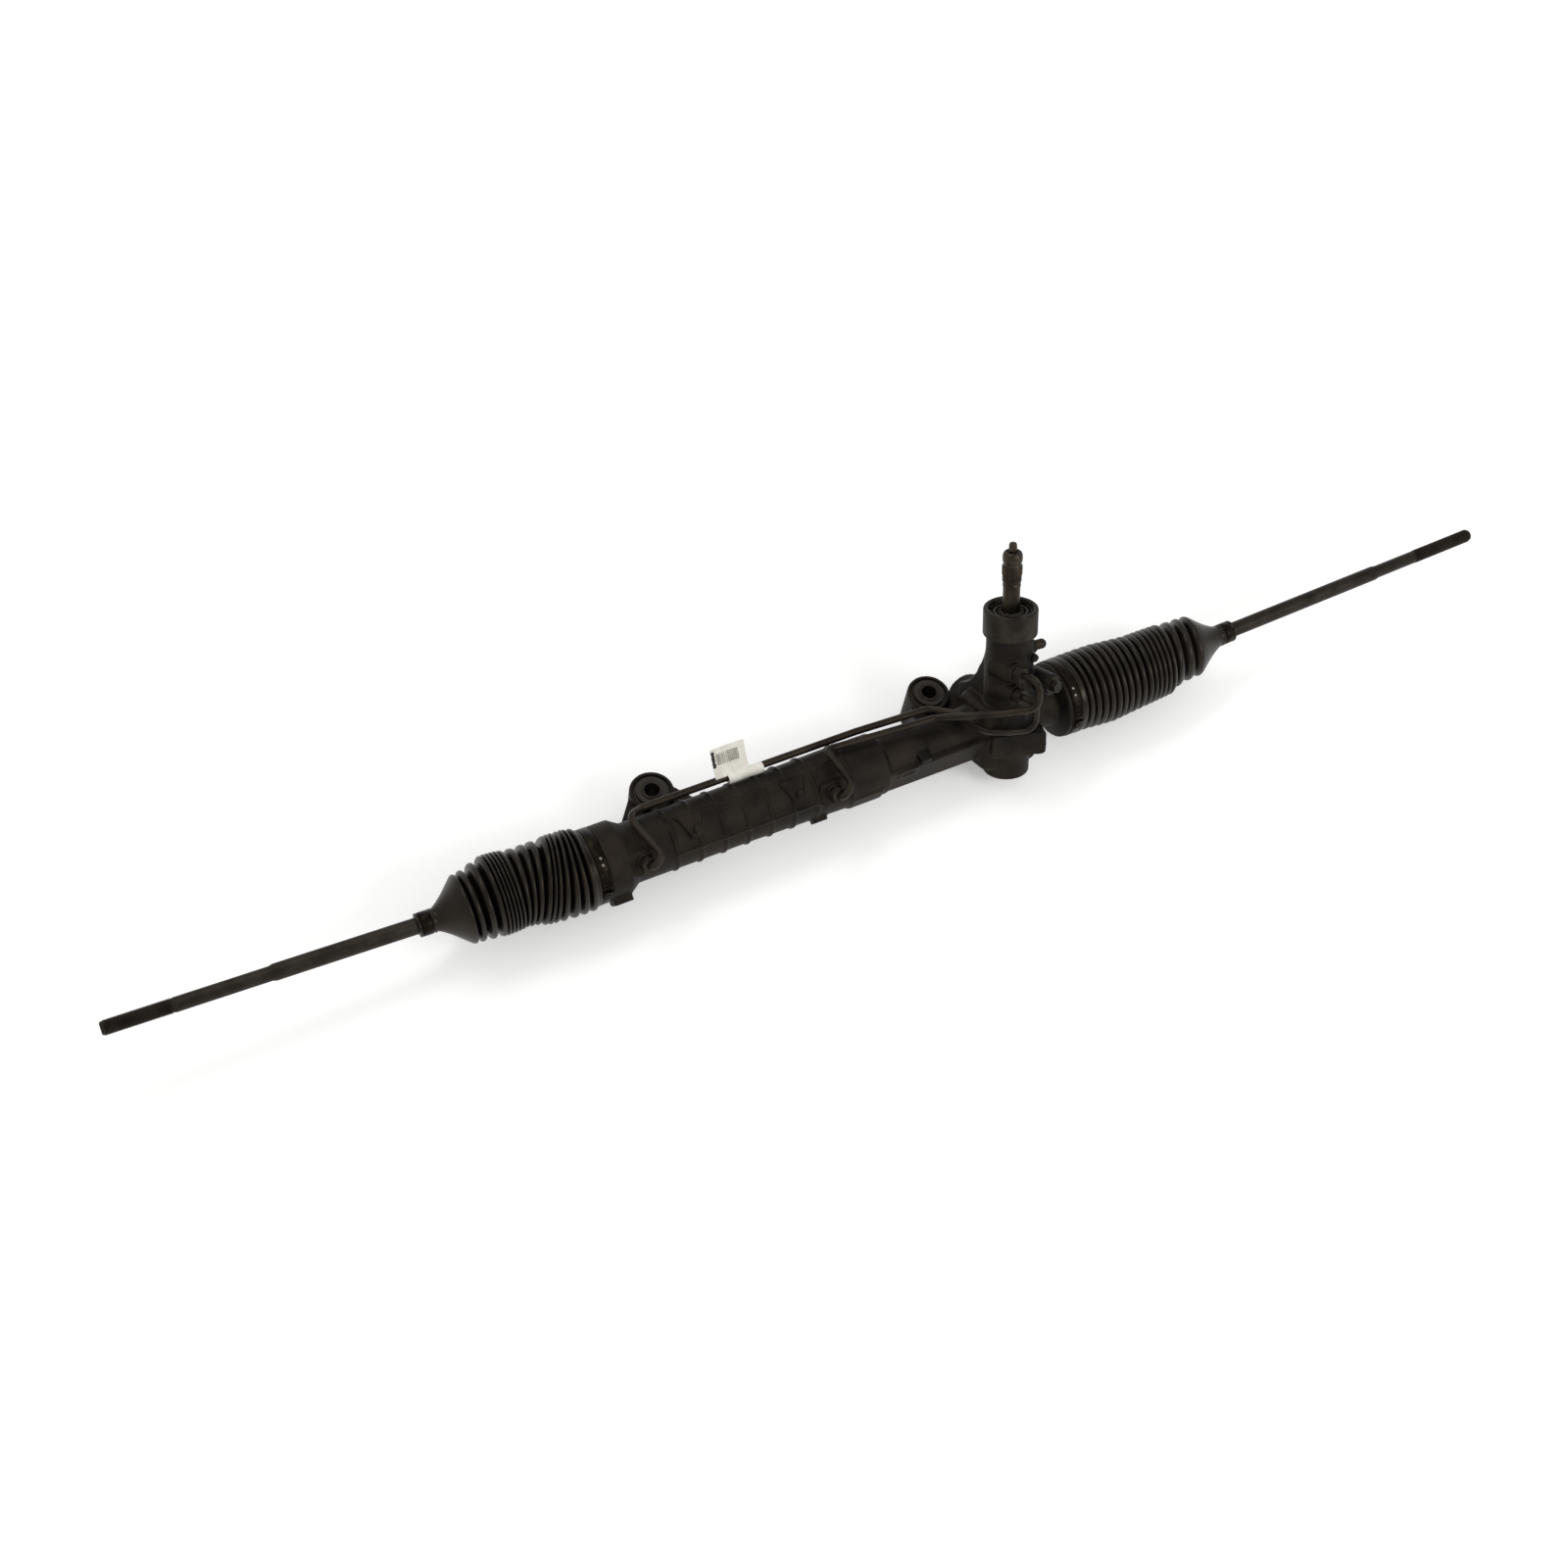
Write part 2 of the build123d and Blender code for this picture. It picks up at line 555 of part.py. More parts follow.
# --------------------------------------------------------------- tie rods
def outward(side):
    """Places a shape drawn with its ball centre at 0 and its rod along +X."""
    return Pos(BALL_X[side], 0, 0) * Rot(0, 0, 180 if side == "left" else 0)


def ball_housing(side):
    """Cup that holds the ball, with its stud and two flats for a spanner."""
    lip = 7.78
    body = turned([
        (-SHOULDER - STUD_LENGTH, 0), (-SHOULDER - STUD_LENGTH, STUD_R - SEAT),
        (-SHOULDER, STUD_R - SEAT), (-SHOULDER, SOCKET_R - 2), (-SHOULDER + 2, SOCKET_R),
        (lip, SOCKET_R), (lip + 3, SOCKET_R - 1.2), (lip + 3, 0),
    ])
    body -= Sphere(SEAT_R + RUN)
    body -= turned([(lip - 1, 0), (lip - 1, 13.6), (lip, 14.04), (lip + 4, 17.0), (lip + 4, 0)])
    for sign in (-1, 1):
        body -= Pos(-SHOULDER + 3, sign * (SOCKET_R + 3.4), 0) * Box(9, 10, 30)
    return outward(side) * body


def ball_seat(side):
    body = Sphere(SEAT_R) - Sphere(BALL_R + RUN) - Pos(7.55 + 15, 0, 0) * Box(30, 40, 40)
    return outward(side) * body


def tie_rod(side):
    """Ball, neck, shank and threaded end in one forging."""
    length = ROD_REACH[side] / math.cos(math.radians(ROD_TILT[side]))
    slim_from = length - THREAD_LENGTH[side] - SLIM_LENGTH[side]
    shank = turned([
        (0, 0), (0, ROD_NECK_R), (20, ROD_NECK_R), (25, ROD_R), (slim_from, ROD_R), (slim_from + 3, ROD_SLIM_R),
        (length - THREAD_LENGTH[side], ROD_SLIM_R), (length - THREAD_LENGTH[side], THREAD_R),
        (length - 1.2, THREAD_R), (length, THREAD_R - 1.2), (length, 0),
    ])
    rod = Rot(0, -ROD_TILT[side], 0) * (Sphere(BALL_R) + shank)
    return outward(side) * rod


# ------------------------------------------------------------------- boots
def boot(side):
    """Bellows from the housing seat to the tie rod."""
    seat_r = (LEFT_SEAT_R if side == "left" else RIGHT_SEAT_R) + SEAT
    seat_out = seat_r + 3.0 - SEAT
    half = SEAT_WIDTH / 2
    ball_x = abs(BALL_X[side] - SEAT_X[side])
    reach = BOOT_REACH[side]
    start, cone = half + 5.0, reach - CUFF_LENGTH / 2 - CONE_LENGTH
    folds = round(BOOT_FOLDS[side])
    pitch = (cone - start) / folds
    outer = [(-half, seat_r), (-half, seat_out), (half + 0.5, seat_out)]
    inner = [(start, seat_r)]
    for n in range(folds):
        x = start + n * pitch
        crest = BOOT_BIG_R[side] + (BOOT_SMALL_R[side] - BOOT_BIG_R[side]) * n / (folds - 1)
        outer += [(x, crest - FOLD_DEPTH), (x + pitch / 2, crest)]
    end_r = BOOT_SMALL_R[side] - FOLD_DEPTH
    outer.append((cone, end_r))
    inner_r = min(seat_r, end_r - BOOT_WALL)
    bead = (half + BEAD_WIDTH + 0.3, seat_r + BEAD + SEAT)
    body = turned(outer + [
        (cone, inner_r), (bead[0] + 2, inner_r), (bead[0], bead[1]), (half, bead[1]), (half, seat_r)
    ])
    tilt = math.radians(ROD_TILT[side])
    foot = Plane(origin=(cone, 0, 0), z_dir=(1, 0, 0))
    along = Vector(math.cos(tilt), 0, math.sin(tilt))
    cuff_from = Vector(ball_x, 0, 0) + along * ((reach - CUFF_LENGTH / 2 - ball_x) / math.cos(tilt))
    neck = Plane(origin=cuff_from, z_dir=along)
    hull = loft([foot * Circle(end_r), neck * Circle(CUFF_R)])
    core = loft([foot * Circle(inner_r), neck * Circle(ROD_R + SEAT)])
    cuff = bar(cuff_from, cuff_from + along * CUFF_LENGTH, CUFF_R, ROD_R + SEAT)
    body = body + (hull - core) + cuff
    return Pos(SEAT_X[side], 0, 0) * Rot(0, 0, 180 if side == "left" else 0) * body


def boot_clamp(side):
    """Band round the big end of a boot, with its crimped ear."""
    inner = (LEFT_SEAT_R if side == "left" else RIGHT_SEAT_R) + 3.0 + SEAT
    x = SEAT_X[side]
    angle = 30.0 if side == "left" else -18.0
    width = 8.4
    body = ring(x - width / 2, x + width / 2, inner, inner + BAND)
    ear = Plane(origin=radial(x, angle, inner), x_dir=(1, 0, 0), z_dir=radial(0, angle, 1))
    return body + extrude(ear * RectangleRounded(width - 1.6, 9, 1), amount=BAND + 2.2)


def rod_clamp(side):
    """Small wire clamp that holds a boot's cuff to its tie rod."""
    tilt = math.radians(ROD_TILT[side])
    middle = (BOOT_REACH[side] - abs(BALL_X[side] - SEAT_X[side])) / math.cos(tilt)
    width = 6.0
    body = ring(middle - width / 2, middle + width / 2, CUFF_R + SEAT, CUFF_R + BAND)
    for offset in (-2.4, 2.4):
        body += Pos(middle, offset, -(CUFF_R + BAND + 1.6)) * Box(width, 1.4, 5.0)
    body += Pos(middle, 0, -(CUFF_R + BAND + 1.2)) * Box(width, 4.2, 1.2)
    return outward(side) * (Rot(0, -ROD_TILT[side], 0) * body)


# ------------------------------------------------------ pinion and the valve
def involute(radius, base):
    """Roll angle's polar offset of an involute at a radius."""
    alpha = math.acos(base / radius)
    return math.tan(alpha) - alpha


def pinion_section():
    """Seven-tooth pinion with involute flanks and one tooth along +Y."""
    pitch_r = MODULE * TEETH / 2
    base = pitch_r * math.cos(PRESSURE)
    root = pitch_r + SHIFT * MODULE - 1.25 * MODULE
    half = (math.pi / 2 + 2 * SHIFT * math.tan(PRESSURE)) / TEETH + involute(pitch_r, base)
    steps = 6
    radii = [base + (PINION_TIP_R - base) * i / steps for i in range(steps + 1)]
    flank = [(r, half - (involute(r, base) if r > base else 0)) for r in radii]
    right = [(root - 0.6, half)] + flank
    section = Circle(root)
    for n in range(TEETH):
        middle = math.pi / 2 + n * 2 * math.pi / TEETH
        points = [(r * math.cos(middle - a), r * math.sin(middle - a)) for r, a in right]
        points += [(r * math.cos(middle + a), r * math.sin(middle + a)) for r, a in reversed(right)]
        section += make_face(Polyline(*points, close=True))
    return section


PINION_NECK_R = 9.0
PINION_TOP = 32.0
SPOOL_R = 10.0
TANG = 4.0                # half width of the spool's driving tang
TANG_SLOT = 4.3           # half width of its slot, which lets it turn a little
TANG_R = 6.0


def pinion():
    half = PINION_FACE / 2
    body = extrude(pinion_section(), amount=half, both=True)
    body += ring_up(half, PINION_TOP, 0, PINION_NECK_R)
    body += ring_up(BEARING_TOP - BEARING_WIDTH, -half, 0, BEARING_BORE_R - SEAT)
    body += ring_up(BEARING_TOP - 18, BEARING_TOP - BEARING_WIDTH, 0, 6.0)
    body -= ring_up(8, PINION_TOP + 1, 0, 3.9)
    slot = Cylinder(TANG_R + 0.4, 14) & Box(2 * TANG_SLOT, 20, 14)
    body -= Pos(0, 0, PINION_TOP - 5) * slot
    return on_tower(body) - valve_pin(SEAT)


def input_shaft():
    """Spool of the valve and the splined end for the steering column."""
    top = SHAFT_TOP
    body = turned_up([
        (0, PINION_TOP + 0.6), (SPOOL_R - RUN, PINION_TOP + 0.6), (SPOOL_R - RUN, 73),
        (9.0, 75), (9.0, 92), (7.6, 94), (7.0, 112), (7.0, top - 38.2), (8.2, top - 38.2),
        (8.2, top - 23.2), (6.7, top - 22.6), (6.7, top - 20.4), (8.3, top - 18.6),
        (8.3, top - 10.6), (6.2, top - 8.4), (3.1, top - 8.4), (3.1, top - 0.8),
        (2.4, top), (0, top),
    ])
    teeth = 24
    cutters = []
    for n in range(teeth):
        notch = Pos(8.2, 0, 0) * Rot(0, 0, 45) * Rectangle(0.9, 0.9)
        cutters.append(extrude(Rot(0, 0, n * 360 / teeth) * (Pos(0, 0, top - 38.3) * notch), amount=15.2))
    body = body.cut(*cutters)
    tang = Cylinder(TANG_R, 10) & Box(2 * TANG, 20, 10)
    body += Pos(0, 0, PINION_TOP - 3.8) * tang
    body -= ring_up(PINION_TOP - 12, 140, 0, 3.6)
    for n in range(6):
        flute = Rot(0, 0, n * 60) * Pos(SPOOL_R + 0.6, 0, 52) * Box(3, 3.2, 22)
        body -= flute
    return on_tower(body)


def torsion_bar():
    body = turned_up([
        (0, 8.2), (3.85, 8.2), (3.85, 17), (3.0, 18.5), (3.0, 126), (3.58, 127.5), (3.58, 139),
        (0, 139),
    ])
    return on_tower(body)


def valve_sleeve():
    grooves = []
    body = ring_up(24, 72, PINION_NECK_R + SEAT, VALVE_BORE_R - RUN)
    body -= ring_up(PINION_TOP + 0.4, 73, 0, SPOOL_R)
    for h in RING_HEIGHTS:
        grooves.append(ring_up(h - 1, h + 1, 13.6, VALVE_BORE_R + 1))
    for low, high in zip(RING_HEIGHTS[:-1], RING_HEIGHTS[1:]):
        middle = (low + high) / 2
        grooves.append(ring_up(middle - 1.8, middle + 1.8, 14.0, VALVE_BORE_R + 1))
        for n in range(3):
            hole = Rot(0, 0, n * 120) * Pos(12, 0, middle) * Rot(0, 90, 0) * Cylinder(1.0, 9)
            grooves.append(hole)
    return on_tower(body.cut(*grooves)) - valve_pin(SEAT)


RING_HEIGHTS = (30.0, 38.5, 47.0, 55.5, 64.0)


def valve_rings():
    body = [ring_up(h - 1, h + 1, 13.6, VALVE_BORE_R - SEAT) for h in RING_HEIGHTS]
    return on_tower(Compound(body))


def valve_pin(clearance=0.0):
    return on_tower(Pos(11.6, 0, 27) * Rot(0, 90, 0) * Cylinder(1.2 + clearance, 7.0 + 3 * clearance))


def ball_bearing():
    """Deep-groove bearing under the pinion: two rings and their balls."""
    low, high = BEARING_TOP - BEARING_WIDTH, BEARING_TOP
    middle = (low + high) / 2
    pitch_r = (BEARING_R + BEARING_BORE_R) / 2
    ball = 2.4
    race = Pos(0, 0, middle) * Torus(pitch_r, ball)
    inner = ring_up(low, high, BEARING_BORE_R, pitch_r - 1.5) - race
    outer = ring_up(low, high, pitch_r + 1.5, BEARING_R) - race
    balls = [
        Rot(0, 0, n * 40) * Pos(pitch_r, 0, middle) * Sphere(ball - SEAT) for n in range(9)
    ]
    return on_tower(Compound([outer])), on_tower(Compound([inner] + balls))


def pinion_nut():
    top = BEARING_TOP - BEARING_WIDTH
    nut = extrude(Pos(0, 0, top - 6.5) * RegularPolygon(9.0, 6, major_radius=False), amount=6.5)
    return on_tower(nut - ring_up(top - 8, top + 1, 0, 6.0))


def pinion_end_cap():
    """Threaded plug that closes the lower end of the tower."""
    low = BOTTOM + 0.4
    body = turned_up([
        (0, low), (END_CAP_R - 1.2, low), (END_CAP_R - SEAT, low + 1.2), (END_CAP_R - SEAT, -36.2),
        (0, -36.2),
    ])
    body -= extrude(Pos(0, 0, low - 1) * RegularPolygon(6, 6, major_radius=False), amount=4.5)
    return on_tower(body)


def bearing_ring(low, high, inner):
    return on_tower(ring_up(low, high, inner + RUN, VALVE_BORE_R - SEAT))


def pinion_seal():
    return on_tower(turned_up([
        (PINION_NECK_R + RUN, 16.2), (VALVE_BORE_R - SEAT, 16.2), (VALVE_BORE_R - SEAT, 22.5),
        (12.5, 22.5), (12.5, 18.5), (PINION_NECK_R + RUN, 18.5),
    ]))


def shaft_seal():
    return on_tower(turned_up([
        (9.0 + RUN, 84), (VALVE_BORE_R - SEAT, 84), (VALVE_BORE_R - SEAT, 91),
        (12.5, 91), (12.5, 87), (9.0 + RUN, 87),
    ]))


def valve_cap():
    low = CAP_TOP - CAP_HEIGHT
    return on_tower(turned_up([
        (NECK_R + SEAT, low + 0.6), (NECK_R + 0.6, low), (CAP_R - 1.0, low), (CAP_R, low + 1.0),
        (CAP_R, CAP_TOP - 1.2), (CAP_R - 1.2, CAP_TOP), (RECESS_R + 0.8, CAP_TOP),
        (RECESS_R, CAP_TOP - 0.8), (RECESS_R, NECK_TOP + SEAT), (NECK_R + SEAT, NECK_TOP + SEAT),
    ]))


def lock_ring():
    """Slotted ring nut in the open top of the cap."""
    low, high = NECK_TOP + SEAT, CAP_TOP - 3.4
    body = ring_up(low, high, 12.4, RECESS_R - SEAT)
    body -= ring_up(high - 2.2, high + 1, 14.6, 16.4)
    notches = []
    for n in range(6):
        notches.append(Rot(0, 0, n * 60 + 15) * Pos(RECESS_R - 1.6, 0, high) * Box(5, 4, 5))
    return on_tower(body.cut(*notches))


def dust_seal():
    """Rubber collar round the input shaft."""
    return on_tower(turned_up([
        (9.5, 94.5), (12.4 - SEAT, 94.5), (12.4 - SEAT, 107.2), (10.6, 109.0), (8.6, 109.0),
        (7.25, 108.2), (7.25, 106.4), (9.5, 105.0),
    ]))


def pressure_plug():
    """Ring and square-drive plug that close the pressure port for shipping."""
    end = tower_point(*PRESSURE_PORT_AT)
    out = pressure_port_axis()
    body = bar(end - out * 8, end + out * 1.2, 7.0 - SEAT)
    body += bar(end + out * SEAT, end + out * 1.2, PRESSURE_PORT_R - 1.6)
    body += hexagon(end + out * 1.2, end + out * 6.5, 9.0)
    return body


def return_stub():
    """Stub pipe of the return line, with its rounded shipping cap."""
    side, height, front = RETURN_STUB_AT
    start, end = tower_point(NECK_R - 1, height, front), tower_point(side, height, front)
    body = bar(start, tower_point(NECK_R + 5, height, front), 3.4 - SEAT)
    body += bar(tower_point(NECK_R + 5, height, front), end, RETURN_STUB_R)
    return body + Pos(*end) * Sphere(RETURN_STUB_R)


# --------------------------------------------------------------- rack guide
def guide_point(distance):
    """A point on the guide's axis, behind the rack axis."""
    return tower_point(0, 0, -PINION_OFFSET) - FRONT * distance


def rack_guide():
    body = bar(guide_point(3), guide_point(3 + GUIDE_LENGTH), GUIDE_R)
    body -= ring(TOWER_X - 40, TOWER_X + 40, 0, RACK_R + RUN)
    return body - bar(guide_point(3 + GUIDE_LENGTH - 6.4), guide_point(40), 8.0)


SPRING_WIRE = 1.5
SPRING_TURNS = 4


def guide_spring():
    low = 3 + GUIDE_LENGTH - 6.4 + SPRING_WIRE
    high = 31.5 - SPRING_WIRE
    helix = Helix(pitch=(high - low) / SPRING_TURNS, height=high - low, radius=6.0)
    coil = sweep(Plane(origin=helix @ 0, z_dir=helix % 0) * Circle(SPRING_WIRE), path=helix)
    seat = Plane(origin=guide_point(low), x_dir=(1, 0, 0), z_dir=FRONT * -1)
    return seat.location * coil


def guide_plug():
    body = bar(guide_point(31.6), guide_point(44), GUIDE_R)
    return body - hexagon(guide_point(38), guide_point(45), 12.0)


def guide_lock_nut():
    start, end = guide_point(GUIDE_HOUSING_END - 7.9), guide_point(GUIDE_HOUSING_END - 1)
    return bar(start, end, GUIDE_R, 8.0)


# -------------------------------------------------------------------- pipes
PIPE_BEND = 13.0
PIPE_Y = 22.2             # long straight run of the far pipe, behind the rack axis
PIPE_Z = 22.7             # and above it

FAR_PIPE = [               # from the far cylinder port to the lower valve port
    radial(CYL_PORT_X[0], CYL_PORT_ANGLE, CYL_PORT_FACE + 2),
    radial(CYL_PORT_X[0], CYL_PORT_ANGLE, 46), Vector(36.5, -30, 33.5), Vector(26, 13, 33),
    Vector(42, PIPE_Y, PIPE_Z), Vector(SLEEVE_END - 10, PIPE_Y, PIPE_Z),
    Vector(TOWER_X - 63, 19.2, 23.0), Vector(TOWER_X - 45, 1, 29), Vector(TOWER_X - 36.5, -26, 35.5),
    tower_point(-18.8, 15.1, 32), tower_point(3.0, 13.5, 37), tower_point(3.0, 37, 38),
    port_point(PORT_HEIGHTS[0], 31), port_point(PORT_HEIGHTS[0], PORT_FACE + 3),
]
NEAR_PIPE = [              # from the near cylinder port to the upper valve port
    radial(CYL_PORT_X[1], CYL_PORT_ANGLE, CYL_PORT_FACE + 2),
    radial(CYL_PORT_X[1], CYL_PORT_ANGLE, 46), Vector(205, -29, 34.5), Vector(200, 9.5, 34),
    Vector(214, 10.2, 30.8), Vector(TOWER_X - 68, 3, 33.5), Vector(TOWER_X - 31, -19, 47.5),
    tower_point(-0.5, 38.2, 46), tower_point(-0.5, 59, 46.5), port_point(PORT_HEIGHTS[1], 35),
    port_point(PORT_HEIGHTS[1], PORT_FACE + 3),
]


def union_nuts():
    """Hexagon unions at the four ends of the two cylinder pipes."""
    nuts = []
    for x in CYL_PORT_X:
        def point(distance):
            return radial(x, CYL_PORT_ANGLE, distance)
        nuts.append(union_nut(point, CYL_PORT_FACE))
    for height in PORT_HEIGHTS:
        def point(distance):
            return port_point(height, distance)
        nuts.append(union_nut(point, PORT_FACE))
    return Compound(nuts)


def union_nut(point, face):
    nut = bar(point(face - UNION_DEPTH), point(face + 0.2), 5.5 - SEAT)
    nut += hexagon(point(face), point(face + NUT_HEIGHT), NUT_AF - 2)
    return nut - bar(point(face - UNION_DEPTH - 1), point(face + NUT_HEIGHT + 1), PIPE_R + SEAT)


# ---------------------------------------------------------------- paper tag
TAG_X = 131.0
TAG_WIDTH = 36.0
TAG_FLAG = 24.0
TAG_THICK = 0.4
TAG_LEAN = 50.0           # of the flag, above straight rearward


def paper_tag():
    """Strip of label folded round the far pipe and stuck to itself."""
    centre = Vector(TAG_X, PIPE_Y, PIPE_Z)
    collar = ring(-TAG_WIDTH / 2, TAG_WIDTH / 2, PIPE_R + SEAT, PIPE_R + TAG_THICK)
    flag = Pos(0, PIPE_R + TAG_FLAG / 2, 0) * Box(TAG_WIDTH, TAG_FLAG, 2 * TAG_THICK)
    return Pos(*centre) * Rot(TAG_LEAN, 0, 0) * (collar + flag)


# -------------------------------------------------------------------- write
bearing_outer, bearing_inner = ball_bearing()
PIECES = {
    "rack_housing": housing(),
    "left_bush_rubber": bush_rubber(LUG_X[0]),
    "right_bush_rubber": bush_rubber(LUG_X[1]),
    "left_bush_sleeve": bush_sleeve(LUG_X[0]),
    "right_bush_sleeve": bush_sleeve(LUG_X[1]),
    "cylinder_liner": cylinder_liner(),
    "left_bulkhead": left_bulkhead(),
    "left_rod_seal": rod_seal(LINER_LEFT - 5.4, LINER_LEFT - 0.2, 17.0 - SEAT),
    "inner_rod_seal": rod_seal(LINER_RIGHT + 0.1, LINER_RIGHT + INNER_SEAL_LENGTH - 0.1,
                               INNER_SEAL_R - SEAT),
    "bulkhead_snap_ring": snap_ring(),
    "rack_bar": rack_bar(),
    "rack_piston": piston(),
    "piston_ring": piston_ring(),
    "pinion_shaft": pinion(),
    "valve_sleeve": valve_sleeve(),
    "valve_sleeve_rings": valve_rings(),
    "valve_sleeve_pin": valve_pin(),
    "input_shaft": input_shaft(),
    "torsion_bar": torsion_bar(),
    "pinion_bearing_outer": bearing_outer,
    "pinion_bearing_inner": bearing_inner,
    "pinion_nut": pinion_nut(),
    "pinion_end_cap": pinion_end_cap(),
    "pinion_seal": pinion_seal(),
    "upper_shaft_bearing": bearing_ring(75.5, 83.5, 9.0),
    "upper_shaft_seal": shaft_seal(),
    "valve_cap": valve_cap(),
    "bearing_lock_ring": lock_ring(),
    "dust_seal": dust_seal(),
    "rack_guide": rack_guide(),
    "guide_spring": guide_spring(),
    "guide_plug": guide_plug(),
    "guide_lock_nut": guide_lock_nut(),
    "far_cylinder_pipe": tube(FAR_PIPE, PIPE_R, PIPE_BEND),
    "near_cylinder_pipe": tube(NEAR_PIPE, PIPE_R, PIPE_BEND),
    "pipe_union_nuts": union_nuts(),
    "pressure_port_plug": pressure_plug(),
    "return_line_stub": return_stub(),
    "paper_tag": paper_tag(),
}
for side in ("left", "right"):
    PIECES[f"{side}_ball_housing"] = ball_housing(side)
    PIECES[f"{side}_ball_seat"] = ball_seat(side)
    PIECES[f"{side}_tie_rod"] = tie_rod(side)
    PIECES[f"{side}_boot"] = boot(side)
    PIECES[f"{side}_boot_clamp"] = boot_clamp(side)
    PIECES[f"{side}_rod_clamp"] = rod_clamp(side)

for name, piece in PIECES.items():
    write(name, piece)
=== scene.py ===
import json
from math import atan2, cos, pi, radians, sin, tau

import bmesh
import bpy
from mathutils import Matrix, Vector


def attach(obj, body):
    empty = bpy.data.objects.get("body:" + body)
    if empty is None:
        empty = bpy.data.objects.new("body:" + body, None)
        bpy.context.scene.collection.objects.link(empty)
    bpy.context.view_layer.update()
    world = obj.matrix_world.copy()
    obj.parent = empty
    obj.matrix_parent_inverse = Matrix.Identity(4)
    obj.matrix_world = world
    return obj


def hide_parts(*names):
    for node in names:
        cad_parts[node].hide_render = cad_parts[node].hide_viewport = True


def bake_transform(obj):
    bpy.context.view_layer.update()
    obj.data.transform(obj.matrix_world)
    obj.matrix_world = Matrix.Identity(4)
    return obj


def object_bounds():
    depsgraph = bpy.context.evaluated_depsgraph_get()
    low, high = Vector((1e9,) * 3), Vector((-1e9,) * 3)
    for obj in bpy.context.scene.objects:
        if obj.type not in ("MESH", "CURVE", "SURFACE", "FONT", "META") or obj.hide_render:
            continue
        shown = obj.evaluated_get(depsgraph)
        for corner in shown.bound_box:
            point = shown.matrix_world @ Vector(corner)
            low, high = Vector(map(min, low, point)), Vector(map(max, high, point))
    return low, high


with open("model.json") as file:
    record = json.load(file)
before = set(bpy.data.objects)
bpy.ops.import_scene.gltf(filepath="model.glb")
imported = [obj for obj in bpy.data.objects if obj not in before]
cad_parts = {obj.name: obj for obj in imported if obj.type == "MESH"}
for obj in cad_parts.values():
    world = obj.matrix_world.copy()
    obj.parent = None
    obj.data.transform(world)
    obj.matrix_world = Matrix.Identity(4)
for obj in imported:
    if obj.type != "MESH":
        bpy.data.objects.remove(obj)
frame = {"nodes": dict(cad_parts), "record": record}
cad_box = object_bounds()

# The rack's own axes, in millimetres: X along the bar, Y to the rear, Z up.
# The part's origin is the middle of the left mounting bore.
ORIGIN = Vector((63.5, 45.2, -17.3))
TO_PART = Matrix.Scale(0.001, 4) @ Matrix.Translation(-ORIGIN)

OUTWARD = {"left": -1.0, "right": 1.0}
BALL_X = {"left": -60.0, "right": 518.0}        # inner ball joints
SEAT_X = {"left": -11.0, "right": 431.0}        # ends of the casting, where the boots sit
CLAMP_X = {"left": -8.4, "right": 428.4}        # middles of the large boot clamps
CUFF_X = {"left": -146.5, "right": 606.5}       # middles of the small ones
ROD_TILT = {"left": radians(4.0), "right": radians(3.9)}
ROD_REACH = {"left": 327.0, "right": 365.0}     # from the ball to the rod's end, along the rack
THREAD_LENGTH = {"left": 51.0, "right": 65.0}
SLIM_LENGTH = {"left": 74.0, "right": 46.0}     # plain length just before the thread

# The valve tower leans with the pinion's axis, which passes in front of the bar.
LEAN_BACK, LEAN_SIDE = radians(26.74), radians(4.01)
PINION_X, PINION_OFFSET = 368.1, 14.2
SHAFT = Vector((sin(LEAN_SIDE), cos(LEAN_SIDE) * sin(LEAN_BACK), cos(LEAN_SIDE) * cos(LEAN_BACK)))
FRONT = Vector((1, 0, 0)).cross(SHAFT).normalized()
SIDE = SHAFT.cross(FRONT)
TOWER_AT = Vector((PINION_X, 0, 0)) + PINION_OFFSET * FRONT


def axes(origin, x, y, z):
    """A frame from an origin and three directions."""
    turn = Matrix((x, y, z)).transposed().to_4x4()
    return Matrix.Translation(origin) @ turn


def rod_axes(side, at):
    """X along a tie rod, outwards, and Z up from it."""
    along = Vector((OUTWARD[side] * cos(ROD_TILT[side]), 0, sin(ROD_TILT[side])))
    across = Vector((0, OUTWARD[side], 0))
    return axes(at, along, across, along.cross(across))


ROD = {side: rod_axes(side, Vector((BALL_X[side], 0, 0))) for side in BALL_X}


# ---------------------------------------------------------------- materials
def colour(code):
    """sRGB hex to linear RGBA."""
    parts = [int(code[i:i + 2], 16) / 255 for i in (1, 3, 5)]
    linear = [c / 12.92 if c <= 0.04045 else ((c + 0.055) / 1.055) ** 2.4 for c in parts]
    return (*linear, 1.0)


def node(tree, kind, links=(), **settings):
    """Adds a node with its settings and its input links."""
    made = tree.nodes.new(kind)
    for name, value in settings.items():
        if name == "ramp":
            while len(made.color_ramp.elements) < len(value):
                made.color_ramp.elements.new(0.5)
            for stop, (at, shade) in zip(made.color_ramp.elements, value):
                stop.position = at
                stop.color = shade
        elif name == "sockets":
            for socket, level in value.items():
                made.inputs[socket].default_value = level
        else:
            setattr(made, name, value)
    for socket, source in links:
        tree.links.new(source, made.inputs[socket])
    return made


def finish_material(name, shader):
    """A new material, with its tree, its Principled shader set as given and the Object coordinates."""
    material = bpy.data.materials.new(name)
    material.use_nodes = True
    tree = material.node_tree
    principled = tree.nodes["Principled BSDF"]
    for socket, level in shader.items():
        principled.inputs[socket].default_value = level
    place = node(tree, "ShaderNodeTexCoord").outputs["Object"]
    return material, tree, principled, place


